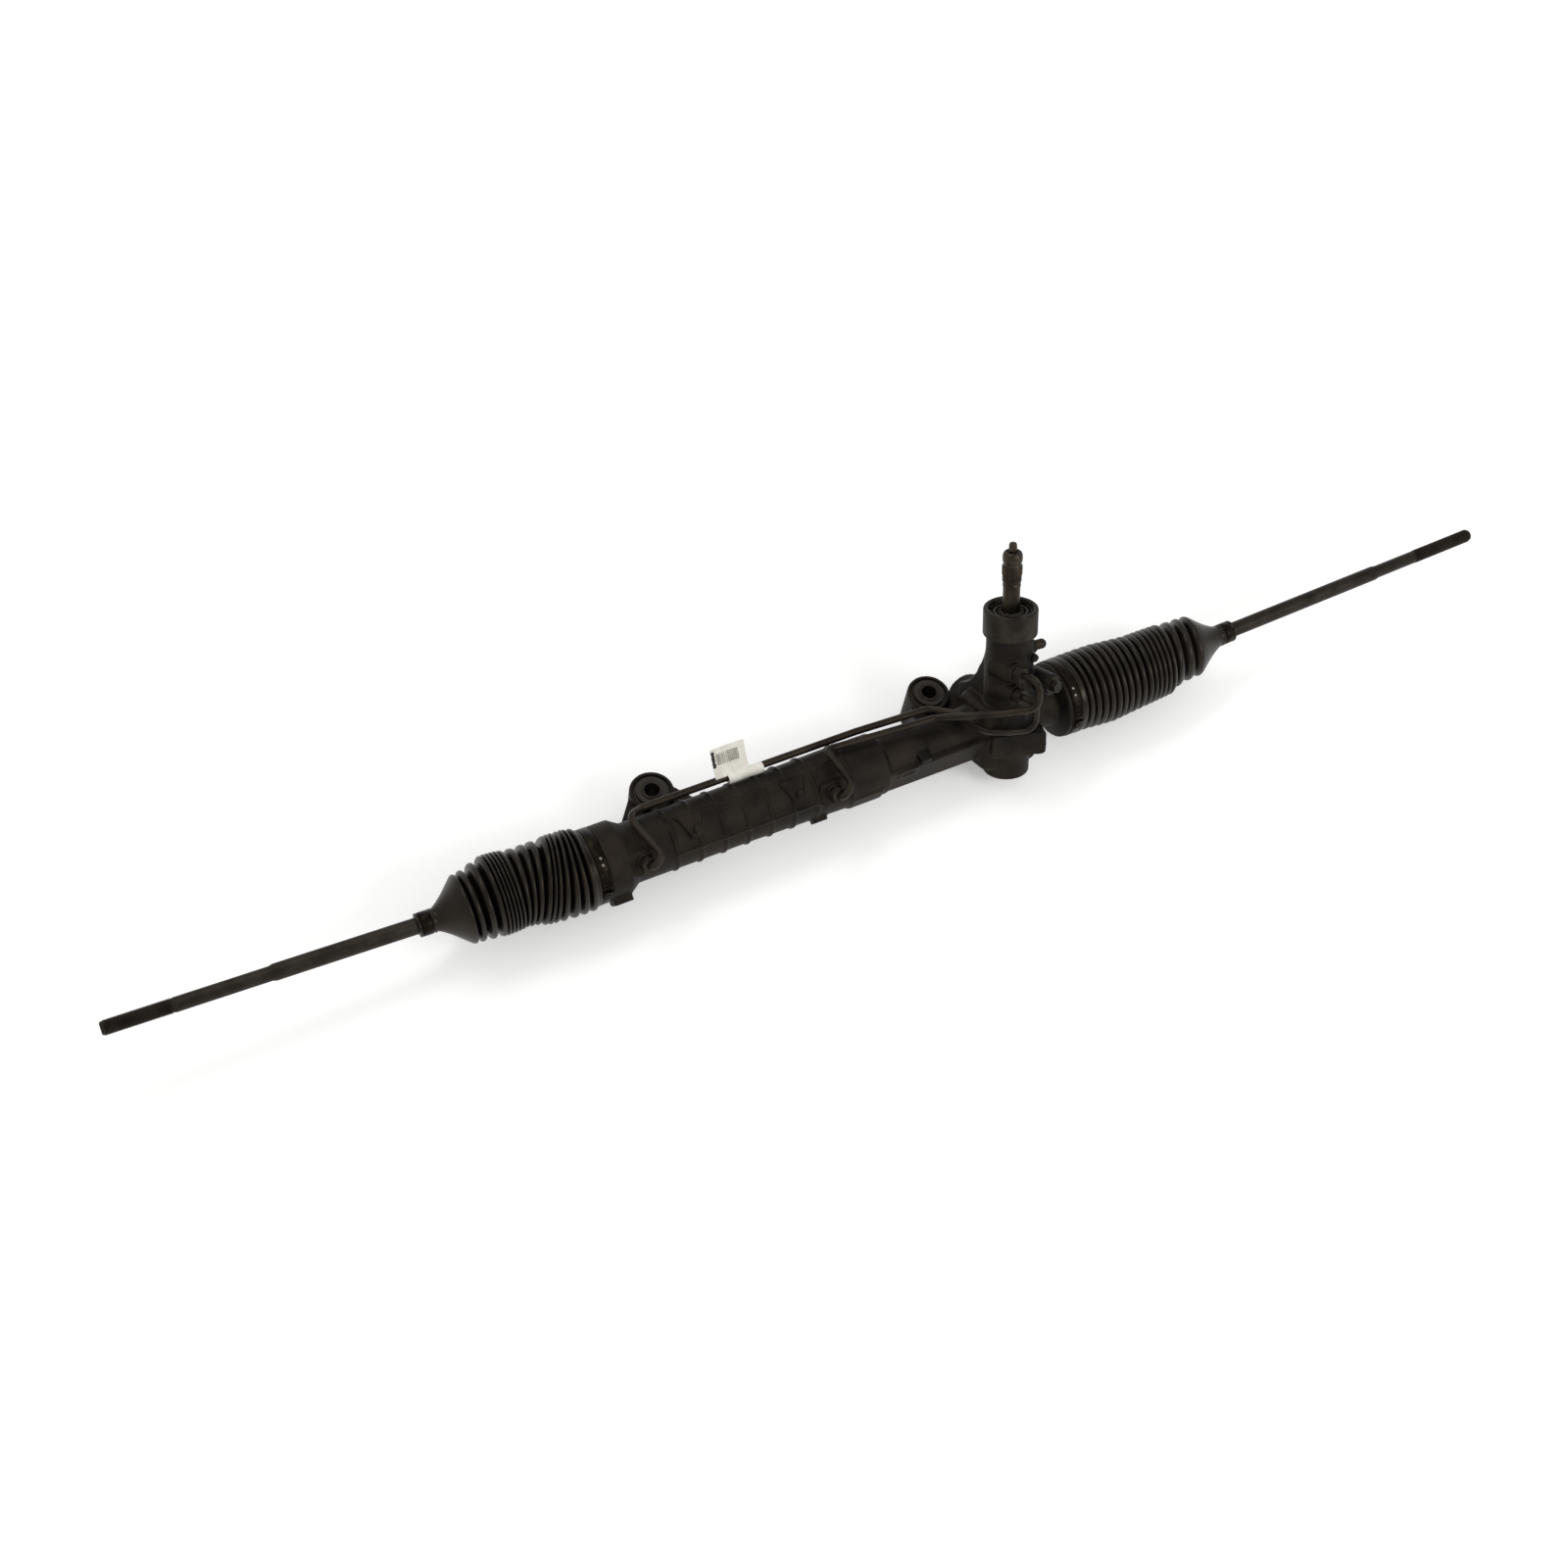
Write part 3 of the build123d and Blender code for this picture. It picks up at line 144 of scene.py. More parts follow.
def mottled(name, dark, light, patch_mm, rough, grain_mm, grain_height_mm, shader):
    """Colour and roughness that drift in soft patches over a fine-grained surface."""
    material, tree, principled, place = finish_material(name, shader)
    patches = node(tree, "ShaderNodeTexNoise", [("Vector", place)],
                   sockets={"Scale": 1000 / patch_mm, "Detail": 4.0, "Roughness": 0.62})
    tint = node(tree, "ShaderNodeValToRGB", [("Fac", patches.outputs["Fac"])],
                ramp=[(0.34, colour(dark)), (0.68, colour(light))])
    tree.links.new(tint.outputs["Color"], principled.inputs["Base Color"])
    sheen = node(tree, "ShaderNodeMapRange", [("Value", patches.outputs["Fac"])],
                 sockets={"From Min": 0.3, "From Max": 0.7, "To Min": rough[1], "To Max": rough[0]})
    tree.links.new(sheen.outputs["Result"], principled.inputs["Roughness"])
    grain = node(tree, "ShaderNodeTexNoise", [("Vector", place)],
                 sockets={"Scale": 1000 / grain_mm, "Detail": 3.0, "Roughness": 0.55})
    bump = node(tree, "ShaderNodeBump", [("Height", grain.outputs["Fac"])],
                sockets={"Strength": 1.0, "Distance": grain_height_mm / 1000})
    tree.links.new(bump.outputs["Normal"], principled.inputs["Normal"])
    return material


# Die-cast aluminium, stained dark by oil: a dull brown-grey skin with a fine
# grain and paler, drier patches, so its highlights are broad and broken.
cast_aluminium = mottled("stained_cast_aluminium", "#16120E", "#2F2820", 30, (0.68, 0.54), 1.5, 0.10,
                         {"Metallic": 0.8})
# The same stain on turned steel leaves it lighter than the casting, with a tighter gloss.
turned_steel = mottled("oiled_turned_steel", "#2F2923", "#4C443A", 20, (0.46, 0.34), 0.9, 0.012,
                       {"Metallic": 1.0})
# Phosphated steel is matt and slightly brown, with a soft, patchy highlight.
phosphated_steel = mottled("phosphated_steel", "#26221D", "#3E3831", 18, (0.60, 0.50), 1.1, 0.03,
                           {"Metallic": 0.9})
# Thin strip of dull stainless steel, stained by road dirt.
band_steel = mottled("rolled_stainless_band", "#14110E", "#29231D", 9, (0.48, 0.36), 0.8, 0.01,
                     {"Metallic": 1.0})
# Bare stainless, where the clamp tool has polished its dimples.
polished_steel = mottled("polished_stainless", "#7E776C", "#958D80", 6, (0.38, 0.30), 0.6, 0.004,
                         {"Metallic": 1.0})
# Coated steel tube: a thin even coat that shines along the bends.
coated_pipe = mottled("coated_steel_pipe", "#241E19", "#3A3229", 26, (0.54, 0.44), 1.2, 0.012,
                      {"Metallic": 0.85})
# Moulded rubber: near black, smooth, with a greasy sheen on its crests.
boot_rubber = mottled("moulded_boot_rubber", "#0B0806", "#15100C", 30, (0.40, 0.30), 1.4, 0.02,
                      {"Specular IOR Level": 0.3, "Specular Tint": (1.0, 0.86, 0.72, 1.0)})
# The seals' rubber is greyer and drier, so it hardly shines.
seal_rubber = mottled("moulded_seal_rubber", "#1B150F", "#2E261C", 14, (0.60, 0.46), 1.0, 0.02,
                      {"Specular IOR Level": 0.3})
# Natural nylon is milky and satin.
natural_nylon = mottled("natural_nylon", "#B9B29F", "#CFC9B8", 12, (0.45, 0.35), 1.0, 0.01, {})
# Uncoated label stock, a little grubby, and a near-black painted shade for the flag's left edge.
label_paper = mottled("label_paper", "#DAD5C8", "#F0EDE5", 9, (0.85, 0.70), 0.7, 0.01, {})
painted_edge_shade = mottled("painted_edge_shade", "#191613", "#2A2622", 2, (0.70, 0.60), 0.5, 0.004, {})
# The bars have faded to a light grey.
faded_print = mottled("faded_label_print", "#8F8B82", "#B5B1A8", 2, (0.75, 0.65), 0.5, 0.004, {})


# ------------------------------------------------------------------ modelling
def add_piece(name, bm, material, body, replaced=(), place=None, crease=38):
    """Makes a bmesh a finished piece that rides on a CAD body."""
    bmesh.ops.remove_doubles(bm, verts=bm.verts, dist=1e-5)
    bmesh.ops.recalc_face_normals(bm, faces=bm.faces)
    bmesh.ops.transform(bm, matrix=TO_PART @ (place or Matrix.Identity(4)), verts=bm.verts)
    mesh = bpy.data.meshes.new(name)
    bm.to_mesh(mesh)
    bm.free()
    mesh.materials.append(material)
    mesh.shade_smooth()
    mesh.set_sharp_from_angle(angle=radians(crease))
    piece = bpy.data.objects.new(name, mesh)
    bpy.context.scene.collection.objects.link(piece)
    if body:
        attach(piece, body)
    if replaced:
        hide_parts(*replaced)
    return piece


def turned(bm, outline, steps=96):
    """Turns an outline of (along, radius) about X and closes it on the axis."""
    row = [bm.verts.new((x, 0, r)) for x, r in outline]
    edges = [bm.edges.new(pair) for pair in zip(row[:-1], row[1:])]
    bmesh.ops.spin(bm, geom=row + edges, cent=(0, 0, 0), axis=(1, 0, 0), angle=tau, steps=steps,
                   use_merge=True)


def block(bm, size, place):
    """A bevelled box."""
    made = bmesh.ops.create_cube(bm, size=1.0)["verts"]
    bmesh.ops.scale(bm, vec=size, verts=made)
    edges = list({e for v in made for e in v.link_edges})
    soft = bmesh.ops.bevel(bm, geom=edges, offset=min(size) * 0.16, affect="EDGES", segments=2,
                           profile=0.5, material=-1)
    made = list({v for f in soft["faces"] for v in f.verts})
    bmesh.ops.transform(bm, matrix=place, verts=made)


# -------------------------------------------------------------------- casting
SKIN_GRID, QUICK_SKIN_GRID = 0.00095, 0.0016        # metres, size of the cells that round its edges
SKIN_SHARE = 0.42                                   # share of the skin's faces that thinning keeps


def casting():
    """The cast housing, with every edge rounded as it leaves the mould."""
    bm = bmesh.new()
    bm.from_mesh(frame["nodes"]["rack_housing"].data)
    bmesh.ops.remove_doubles(bm, verts=bm.verts, dist=1e-6)
    mesh = bpy.data.meshes.new("sharp_casting")
    bm.to_mesh(mesh)
    bm.free()
    rough = bpy.data.objects.new("sharp_casting", mesh)
    bpy.context.scene.collection.objects.link(rough)
    skin = rough.modifiers.new("skin", "REMESH")
    skin.mode = "VOXEL"
    skin.voxel_size = SKIN_GRID
    soften = rough.modifiers.new("soften", "SMOOTH")
    soften.factor = 0.5
    soften.iterations = 3
    thin = rough.modifiers.new("thin", "DECIMATE")
    thin.ratio = SKIN_SHARE
    bpy.context.view_layer.update()
    done = bpy.data.meshes.new_from_object(rough.evaluated_get(bpy.context.evaluated_depsgraph_get()))
    bpy.data.objects.remove(rough)
    done.name = "cast_housing"
    done.materials.clear()
    done.materials.append(cast_aluminium)
    done.shade_smooth()
    piece = bpy.data.objects.new("cast_housing", done)
    bpy.context.scene.collection.objects.link(piece)
    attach(piece, "housing")
    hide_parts("rack_housing")


casting()

# ---------------------------------------------------------------------- boots
# Crests of the folds along the rack, from the clamp outwards: the pitch
# changes in groups, wide, narrow, wide, fine and wide again.
CRESTS = {
    "left": (-18.7, -25.5, -32.5, -40.0, -45.6, -49.4, -53.2, -60.0, -65.3, -70.6, -76.0, -79.2,
             -82.3, -85.4, -88.5, -91.9, -100.5, -109.2, -115.3),
    "right": (436.8, 443.0, 449.6, 456.6, 463.5, 470.2, 476.6, 483.5, 490.4, 497.8, 505.3, 510.6, 515.8,
              521.0, 526.2, 531.4, 542.0, 553.2, 564.4),
}
FOLD = {        # depth of a fold for its pitch, the greatest depth, share of half a pitch in its bead
    "left": (1.15, 7.4, 0.60),
    "right": (0.85, 6.4, 0.74),
}
GIRTH = {       # outer radius along the rack
    "left": ((-16, 33.6), (-30, 34.6), (-50, 33.7), (-60, 31.8), (-70, 31.2), (-80, 32.6),
             (-90, 33.0), (-96, 31.8), (-101, 30.6), (-109.2, 28.8), (-116, 28.0)),
    "right": ((436, 34.0), (458, 35.0), (470, 35.2), (500, 32.6), (531, 31.4), (542, 28.6),
              (553, 27.8), (566, 27.2)),
}
LIFT = {        # how far the boot's middle line rises towards its tie rod
    "left": ((-10, 0.0), (-50, 1.2), (-80, 3.0), (-100, 4.0), (-115, 4.6), (-151, 6.4)),
    "right": ((431, 0.0), (500, 0.8), (540, 1.4), (570, 2.6), (610, 6.3)),
}
SAG = {         # how far it lies to the rear
    "left": ((-12, 0.0), (-40, 1.2), (-60, 2.8), (-80, 3.6), (-93, 3.6), (-101, 2.4), (-110, 1.0),
             (-139, 0.0)),
    "right": ((431, 0.0), (443, 0.0), (470, -1.5), (500, -2.0), (531, -1.0), (545, 1.4), (565, 1.2),
              (599, 0.0)),
}
LEAN = {        # how far the top and the foot of a fold lean along the rack
    "left": ((-14, (0.0, 0.0)), (-25.5, (2.8, 0.0)), (-32.5, (6.0, 0.0)), (-40, (9.0, -1.0)),
             (-53, (10.5, -2.5)), (-60, (7.5, -2.5)), (-65.3, (6.0, -2.5)), (-70.6, (3.0, -2.0)),
             (-76, (0.5, 0.0)), (-92, (0.5, 0.0)), (-109, (-0.5, 0.0)), (-125, (0.0, 0.0))),
    "right": ((433, (0.0, 0.0)), (443, (0.0, 2.0)), (470, (1.5, 5.0)), (500, (3.0, 7.0)),
              (531, (4.5, 9.0)), (542, (5.2, 12.0)), (553, (5.0, 12.0)), (564, (3.5, 10.5)),
              (590, (0.0, 0.0))),
}
BEND = {"left": (24.0, 36.0), "right": (11.0, 19.0)}    # from the ball to the ends of the swinging folds
CUFF_R = 8.8
BORE_R = 6.6                    # the cuff's own bore
SEAT_R = {"left": 27.42, "right": 30.02}
COLLAR = 2.9                    # thickness of the rubber under the large clamp
WALL = 1.4
# The bead that keeps the large clamp in its place: (along from the clamp, above the seat).
LIP = ((4.6, 3.7), (5.3, 4.1), (6.6, 4.2), (7.2, 3.9))
LIP_GAP = 2.5                   # the least length between that bead and the first crest
# Where a fold's outline has points, from its crest (0) past the valley (1) to the next crest (2).
FOLD_STEPS = (0.14, 0.28, 0.41, 0.5, 0.545, 0.7, 0.85, 1.0, 1.15, 1.3, 1.455, 1.5, 1.59, 1.72, 1.86, 2.0)
# The cone from the last fold to the cuff: (share of its length, share of its radius left).
CONE = ((0.03, 0.985), (0.08, 0.95), (0.33, 0.66), (0.545, 0.41), (0.786, 0.17), (0.92, 0.06), (1.0, 0.02))
CONE_GAP = 7.0                  # from the end of the cone to the middle of the cuff
# The cuff with a ridge on each side of its clamp: (along from its middle, above its radius).
CUFF = ((-6.4, 0.9), (-5.0, 0.9), (-4.6, 0.0), (4.3, 0.0), (4.6, 0.8), (6.0, 0.8), (6.6, 0.0))
CUFF_END = 6.8
# Directions round a boot, as (forward, up): 40 degrees up, where no fold leans, and 105, its top.
LEVEL, TOP = (0.766, 0.643), (-0.26, 0.966)


def between(table, x):
    """Reads a table of (place, value) in a straight line between its entries."""
    rows = sorted(table)
    if x <= rows[0][0]:
        return rows[0][1]
    for (a, low), (b, high) in zip(rows[:-1], rows[1:]):
        if x <= b:
            return low + (high - low) * (x - a) / (b - a)
    return rows[-1][1]


def boot_outline(side):
    """Half section of a boot, outside and back along the inside, with the fold valleys' places."""
    way = OUTWARD[side]
    seat_r, cuff_x = SEAT_R[side], CUFF_X[side]
    crests = CRESTS[side]
    share, deepest, bead = FOLD[side]
    valleys = [(a + b) / 2 for a, b in zip(crests[:-1], crests[1:])]
    seat, band = SEAT_X[side], CLAMP_X[side]
    first = between(GIRTH[side], crests[0])
    outside = [(seat - way * 6.9, seat_r), (seat - way * 6.9, seat_r + COLLAR - 0.5),
               (seat - way * 6.5, seat_r + COLLAR), (band + way * 4.3, seat_r + COLLAR)]
    outside += [(band + way * x, seat_r + r) for x, r in LIP if way * (crests[0] - band) - x > LIP_GAP]
    outside += [(crests[0] - way * 1.2, first - 0.3), (crests[0], first)]
    for a, b in zip(crests[:-1], crests[1:]):
        half = abs(b - a) / 2
        depth = min(share * 2 * half, deepest)
        for part in FOLD_STEPS:
            x = a + (b - a) * part / 2
            near = min(part, 2 - part)
            if near < bead:
                dip = bead * half * (1 - (1 - (near / bead) ** 2) ** 0.5)
            else:
                dip = bead * half + (depth - bead * half) * (near - bead) / (1 - bead)
            outside.append((x, between(GIRTH[side], x) - dip))
    shoulder_x, shoulder_r = outside[-1]
    run = cuff_x - way * CONE_GAP - shoulder_x
    for part, level in CONE:
        outside.append((shoulder_x + run * part, CUFF_R + (shoulder_r - CUFF_R) * level))
    folds_from, cuff_from = outside.index((crests[0], first)) - 1, len(outside)
    outside += [(cuff_x + way * x, CUFF_R + r) for x, r in CUFF] + [(cuff_x + way * CUFF_END, BORE_R)]
    inside = [(x, max(r - WALL, BORE_R)) for x, r in outside[folds_from:cuff_from]]
    return outside + inside[::-1] + [(crests[0] - way * 3.0, seat_r), outside[0]], valleys


def slumped(side, at):
    """A place on a boot after its folds have leaned over and its middle line has sagged."""
    top, foot = (between(tuple((x, pair[k]) for x, pair in LEAN[side]), at.x) for k in (0, 1))
    reach = max((at.y ** 2 + at.z ** 2) ** 0.5, 0.1)
    # A tilted plane: none in the direction LEVEL, `top` in the direction TOP and `foot` opposite it.
    mean = (top + foot) / 2
    fall = -TOP[0] / LEVEL[0]
    rise = ((top - foot) / 2 - fall * mean) / (TOP[1] + fall * LEVEL[1])
    back = (mean + LEVEL[1] * rise) / LEVEL[0]
    lean = (back * at.y + rise * at.z) / reach + mean
    return Vector((at.x + lean, at.y + between(SAG[side], at.x), at.z + between(LIFT[side], at.x)))


def boot(side):
    """A bellows in three lengths that meet in the valleys of its folds."""
    way = OUTWARD[side]
    outline, valleys = boot_outline(side)
    ball = BALL_X[side]
    first, second = (min(valleys, key=lambda x: abs(x - (ball + way * reach)))
                     for reach in BEND[side])
    lengths = {
        "folds": (SEAT_X[side] - way * 30, first),
        "swing": (first, second),
        "cone": (second, CUFF_X[side] + way * 30),
    }
    for name, (near, far) in lengths.items():
        bm = bmesh.new()
        turned(bm, outline, 112)
        bmesh.ops.remove_doubles(bm, verts=bm.verts, dist=1e-4)
        for x, keep in ((near, way), (far, -way)):
            bmesh.ops.bisect_plane(bm, geom=bm.verts[:] + bm.edges[:] + bm.faces[:], dist=1e-4,
                                   plane_co=(x, 0, 0), plane_no=(-keep, 0, 0), clear_outer=True)
        for v in bm.verts:
            v.co = slumped(side, v.co)
        body = {"folds": "housing", "swing": "rack", "cone": f"{side}_seat"}[name]
        piece = add_piece(f"{side}_boot_{name}", bm, boot_rubber, None, (f"{side}_boot",),
                          crease=80)
        ends = [TO_PART @ Vector((x, 0, 0)) for x in (near, far)]
        if name == "folds":
            ends[0] = TO_PART @ Vector((SEAT_X[side] + way * 7.5, 0, 0))
            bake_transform(piece)
        elif name == "swing":
            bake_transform(piece)
        else:
            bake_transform(piece)


for side in BALL_X:
    boot(side)


# ------------------------------------------------------------------- tie rods
RIDGE_R, ROOT_R, PITCH = 5.97, 5.25, 1.5        # the rolled thread
ROD_BALL_R, NECK_R, SHANK_R, SLIM_R = 13.5, 5.75, 6.55, 5.7


def tie_rod(side):
    """Forged rod with its ball, a slimmer end and a rolled thread."""
    length = ROD_REACH[side] / cos(ROD_TILT[side])
    thread_at = length - THREAD_LENGTH[side]
    slim_at = thread_at - SLIM_LENGTH[side]
    bm = bmesh.new()
    outline = [(-ROD_BALL_R, 0.0)]
    outline += [(-ROD_BALL_R * cos(radians(a)), ROD_BALL_R * sin(radians(a))) for a in range(6, 150, 6)]
    outline += [(12.3, NECK_R), (20, NECK_R), (23, 6.25), (25, SHANK_R), (slim_at, SHANK_R),
                (slim_at + 3, SLIM_R), (thread_at - 0.8, SLIM_R), (thread_at - 0.1, 5.4),
                (thread_at + 0.2, ROOT_R), (length - 1.6, ROOT_R), (length - 0.6, 4.9), (length, 4.3),
                (length, 0.0)]
    turned(bm, outline, 64)
    turns = int((THREAD_LENGTH[side] - 2.4) / PITCH)
    steps = 32
    begin = thread_at + 0.2
    ridge = [(0.0, ROOT_R - 0.25), (0.1, ROOT_R), (0.62, RIDGE_R), (0.86, RIDGE_R), (1.38, ROOT_R),
             (1.48, ROOT_R - 0.25)]
    corners = [bm.verts.new((begin + x, 0, r)) for x, r in ridge]
    face = bm.faces.new(corners)
    bmesh.ops.spin(bm, geom=[face], cent=(0, 0, 0), axis=(1, 0, 0), dvec=(PITCH / steps, 0, 0),
                   angle=tau * turns, steps=steps * turns)
    add_piece(f"{side}_forged_tie_rod", bm, phosphated_steel, f"{side}_rod", (f"{side}_tie_rod",),
              ROD[side], crease=30)


for side in BALL_X:
    tie_rod(side)

# --------------------------------------------------------------------- clamps
BAND_GAP = 0.12                                 # between a boot's collar and its large clamp
BAND_R = {side: SEAT_R[side] + COLLAR + BAND_GAP for side in SEAT_R}
BAND_HALF, CUFF_BAND_HALF = 4.1, 3.9            # half the width of a large and a small clamp
BAND_THICK = 0.8
# What stands up from a large clamp: (degrees from its dimples, width, length round it).
RAISED = ((-19, 5.4, 2.2), (-25, 5.4, 1.2), (-34, 4.4, 1.6), (-40, 6.8, 1.1), (14, 6.8, 1.1))
DIMPLE_R, DIMPLE_DEGREES, DIMPLE_FLATNESS = 1.25, 5.1, 0.45
EAR_WIDTH = 7.4
TAB_WIDTH, TAB_APART = 5.6, 2.4


def round_band(bm, half, inner, steps):
    """A closed strip about X with soft edges."""
    outer = inner + BAND_THICK
    turned(bm, [(-half, inner), (-half, outer - 0.15), (-half + 0.2, outer), (half - 0.2, outer),
                (half, outer - 0.15), (half, inner), (-half, inner)], steps)


def big_clamp(side, dots, ear):
    """Ear clamp: a closed band, the raised edges and rails of its lock, its folded ear and, as
    a piece of their own, its two dimples. `dots` and `ear` are degrees above straight forward."""
    bm = bmesh.new()
    round_band(bm, BAND_HALF, BAND_R[side], 144)

    def spot(angle, lift, along=0.0):
        """A place on the band, at an angle above straight forward."""
        return Matrix.Rotation(radians(90 - angle), 4, "X") @ Matrix.Translation((along, 0, lift))

    top = BAND_R[side] + BAND_THICK
    for angle, width, length in RAISED:
        block(bm, (width, length, 0.7), spot(dots + angle, top + 0.1))
    for along in (-3.0, 3.0):
        block(bm, (1.0, 14.0, 0.5), spot(dots - 28, top + 0.05, along))
    for side_of in (-1, 1):
        block(bm, (EAR_WIDTH, 1.2, 2.8), spot(ear + side_of * 5.0, top + 0.7))
        block(bm, (EAR_WIDTH, 3.6, 1.0), spot(ear + side_of * 2.6, top + 1.5))
    block(bm, (3.0, 2.0, 0.6), spot(ear, top + 1.9))
    place = Matrix.Translation((CLAMP_X[side], 0, 0))
    add_piece(f"{side}_ear_clamp", bm, band_steel, "housing", (f"{side}_boot_clamp",),
              place)
    bm = bmesh.new()
    for angle in (dots - DIMPLE_DEGREES, dots + DIMPLE_DEGREES):
        made = bmesh.ops.create_uvsphere(bm, u_segments=20, v_segments=12, radius=DIMPLE_R)["verts"]
        bmesh.ops.scale(bm, vec=(1.0, 1.0, DIMPLE_FLATNESS), verts=made)
        bmesh.ops.transform(bm, matrix=spot(angle, top + 0.05, -0.6 * OUTWARD[side]), verts=made)
    add_piece(f"{side}_clamp_dimples", bm, polished_steel, "housing", (), place)


big_clamp("left", 63.5, 10.0)
big_clamp("right", 61.5, 9.0)


def small_clamp(side):
    """Spring band on a boot's cuff, with its two bent tabs below."""
    bm = bmesh.new()
    inner = CUFF_R + 0.02
    round_band(bm, CUFF_BAND_HALF, inner, 72)
    below = -(inner + BAND_THICK)
    for across in (-TAB_APART, TAB_APART):
        block(bm, (TAB_WIDTH, 1.2, 5.0), Matrix.Translation((0, across, below - 1.8)))
    block(bm, (TAB_WIDTH, 4.4, 1.1), Matrix.Translation((0, 0, below - 1.1)))
    along = abs(CUFF_X[side] - BALL_X[side]) / cos(ROD_TILT[side])
    add_piece(f"{side}_cuff_clamp", bm, band_steel, f"{side}_rod", (f"{side}_rod_clamp",),
              ROD[side] @ Matrix.Translation((along, 0, 0)))


for side in BALL_X:
    small_clamp(side)

# ------------------------------------------------------------- top of the tower
UP_TOWER = axes(TOWER_AT, SHAFT, SIDE, -FRONT)      # X up the pinion's axis
SPLINE_FROM, SPLINE_TO, SPLINE_OVER_R = 135.2, 149.2, 7.5      # its teeth are cut in rings over this
SPLINE_TEETH, TOOTH_STEPS, SPLINE_DEPTH = 24, 4, 0.75
CAP_R, CAP_MOUTH_R, CAP_FOOT, CAP_TOP = 22.7, 18.65, 88.3, 111.6
SEAL_FOOT, PUCKERED_FROM = 96, 107
PUCKERS = ((9, 0.4), (23, 0.25))        # (waves round the seal's lip, height)


def splined_end():
    """Input shaft, from below: a plain stem, a spline in two steps, a groove, a bead and a stub."""
    bm = bmesh.new()
    turned(bm, [(33, 0), (33, 9.9), (73, 9.9), (75, 9.0), (92, 9.0), (94, 7.8), (108, 7.6), (114, 7.15),
                (130.6, 7.1), (131.0, 7.5), (132.6, 7.5), (133.0, 7.2), (134.9, 7.2), (135.4, 7.9),
                (141.0, 7.9), (141.4, 8.4), (149.0, 8.4), (149.5, 8.0), (150.2, 7.3), (151.0, 7.2),
                (151.8, 7.4), (152.4, 7.9), (153.6, 8.25), (155.5, 8.35), (157.4, 8.25), (159.2, 7.9),
                (160.4, 7.2), (161.1, 6.3), (161.2, 5.6), (160.4, 5.1), (159.8, 4.4), (159.8, 3.5),
                (166.0, 3.4), (167.8, 3.0), (168.3, 2.7), (168.6, 2.1), (168.6, 0)],
           TOOTH_STEPS * SPLINE_TEETH)
    for v in bm.verts:
        reach = Vector((0, v.co.y, v.co.z))
        if SPLINE_FROM < v.co.x < SPLINE_TO and reach.length > SPLINE_OVER_R:
            turn = (pi + atan2(v.co.y, v.co.z)) / tau
            step = round(TOOTH_STEPS * SPLINE_TEETH * turn) % TOOTH_STEPS
            v.co -= reach.normalized() * (SPLINE_DEPTH if step > 1 else 0.0)
    add_piece("splined_input_end", bm, turned_steel, "input_shaft", ("input_shaft",),
              UP_TOWER, crease=40)


def tower_cap():
    """Pressed steel cap with a rolled rim, open at the top."""
    bm = bmesh.new()
    turned(bm, [(88.9, 19.7), (CAP_FOOT, 20.3), (CAP_FOOT, 21.7), (88.6, 22.4), (89.3, CAP_R),
                (109.9, CAP_R), (110.9, 22.4), (111.5, 21.7), (CAP_TOP, 20.9), (CAP_TOP, 19.8),
                (111.2, 19.1), (110.4, CAP_MOUTH_R), (97.6, CAP_MOUTH_R), (97.6, 19.7), (88.9, 19.7)],
           128)
    add_piece("tower_cap", bm, phosphated_steel, "housing", ("valve_cap",), UP_TOWER,
              crease=50)


def wrinkled_seal():
    """Rubber dust seal, whose lip has puckered round the shaft."""
    bm = bmesh.new()
    turned(bm, [(SEAL_FOOT, 10.9), (106.8, 10.9), (108.3, 10.6), (109.0, 9.9), (108.4, 9.2),
                (109.1, 8.6), (108.6, 7.9), (107.4, 7.7), (SEAL_FOOT, 7.7), (SEAL_FOOT, 10.9)], 128)
    (coarse, coarse_height), (fine, fine_height) = PUCKERS
    for v in bm.verts:
        if v.co.x > PUCKERED_FROM:
            turn = atan2(v.co.y, v.co.z)
            v.co.x += coarse_height * sin(coarse * turn + v.co.yz.length) + fine_height * sin(fine * turn)
    add_piece("wrinkled_dust_seal", bm, seal_rubber, "housing", ("dust_seal",), UP_TOWER,
              crease=60)


splined_end()
tower_cap()
wrinkled_seal()

# ------------------------------------------------------------------ paper tag
PIPE_AT = Vector((0, 22.2, 22.7))       # straight run of the far pipe
TAG_LEAN = radians(50)
TAG_UP = Vector((0, cos(TAG_LEAN), sin(TAG_LEAN)))
TAG_OUT = Vector((0, -sin(TAG_LEAN), cos(TAG_LEAN)))
FLAG_X, FLAG_WIDTH, FLAG_HEIGHT = 107.6, 30.0, 24.6
LOOP_X, LOOP_WIDTH, LOOP_R = 118.0, 31.2, 4.0
PAPER, INK_AND_SHADE = 0.22, 0.1                  # thickness of the strip and of the print and painted shade on it
BARS_START = 4.6
BARS_FOOT, BARS_TOP = 0.42, 0.80        # share of the flag's height
# Widths of the bars and of the gaps between them, in turn.
BARS = (0.9, 0.5, 1.3, 0.5, 0.5, 0.9, 0.5, 0.5, 0.5, 0.9, 0.5, 1.3, 0.5, 0.9, 1.3, 0.5, 0.9, 0.5, 1.3,
        0.5, 0.9, 0.5, 1.3, 0.5, 0.9, 0.5)


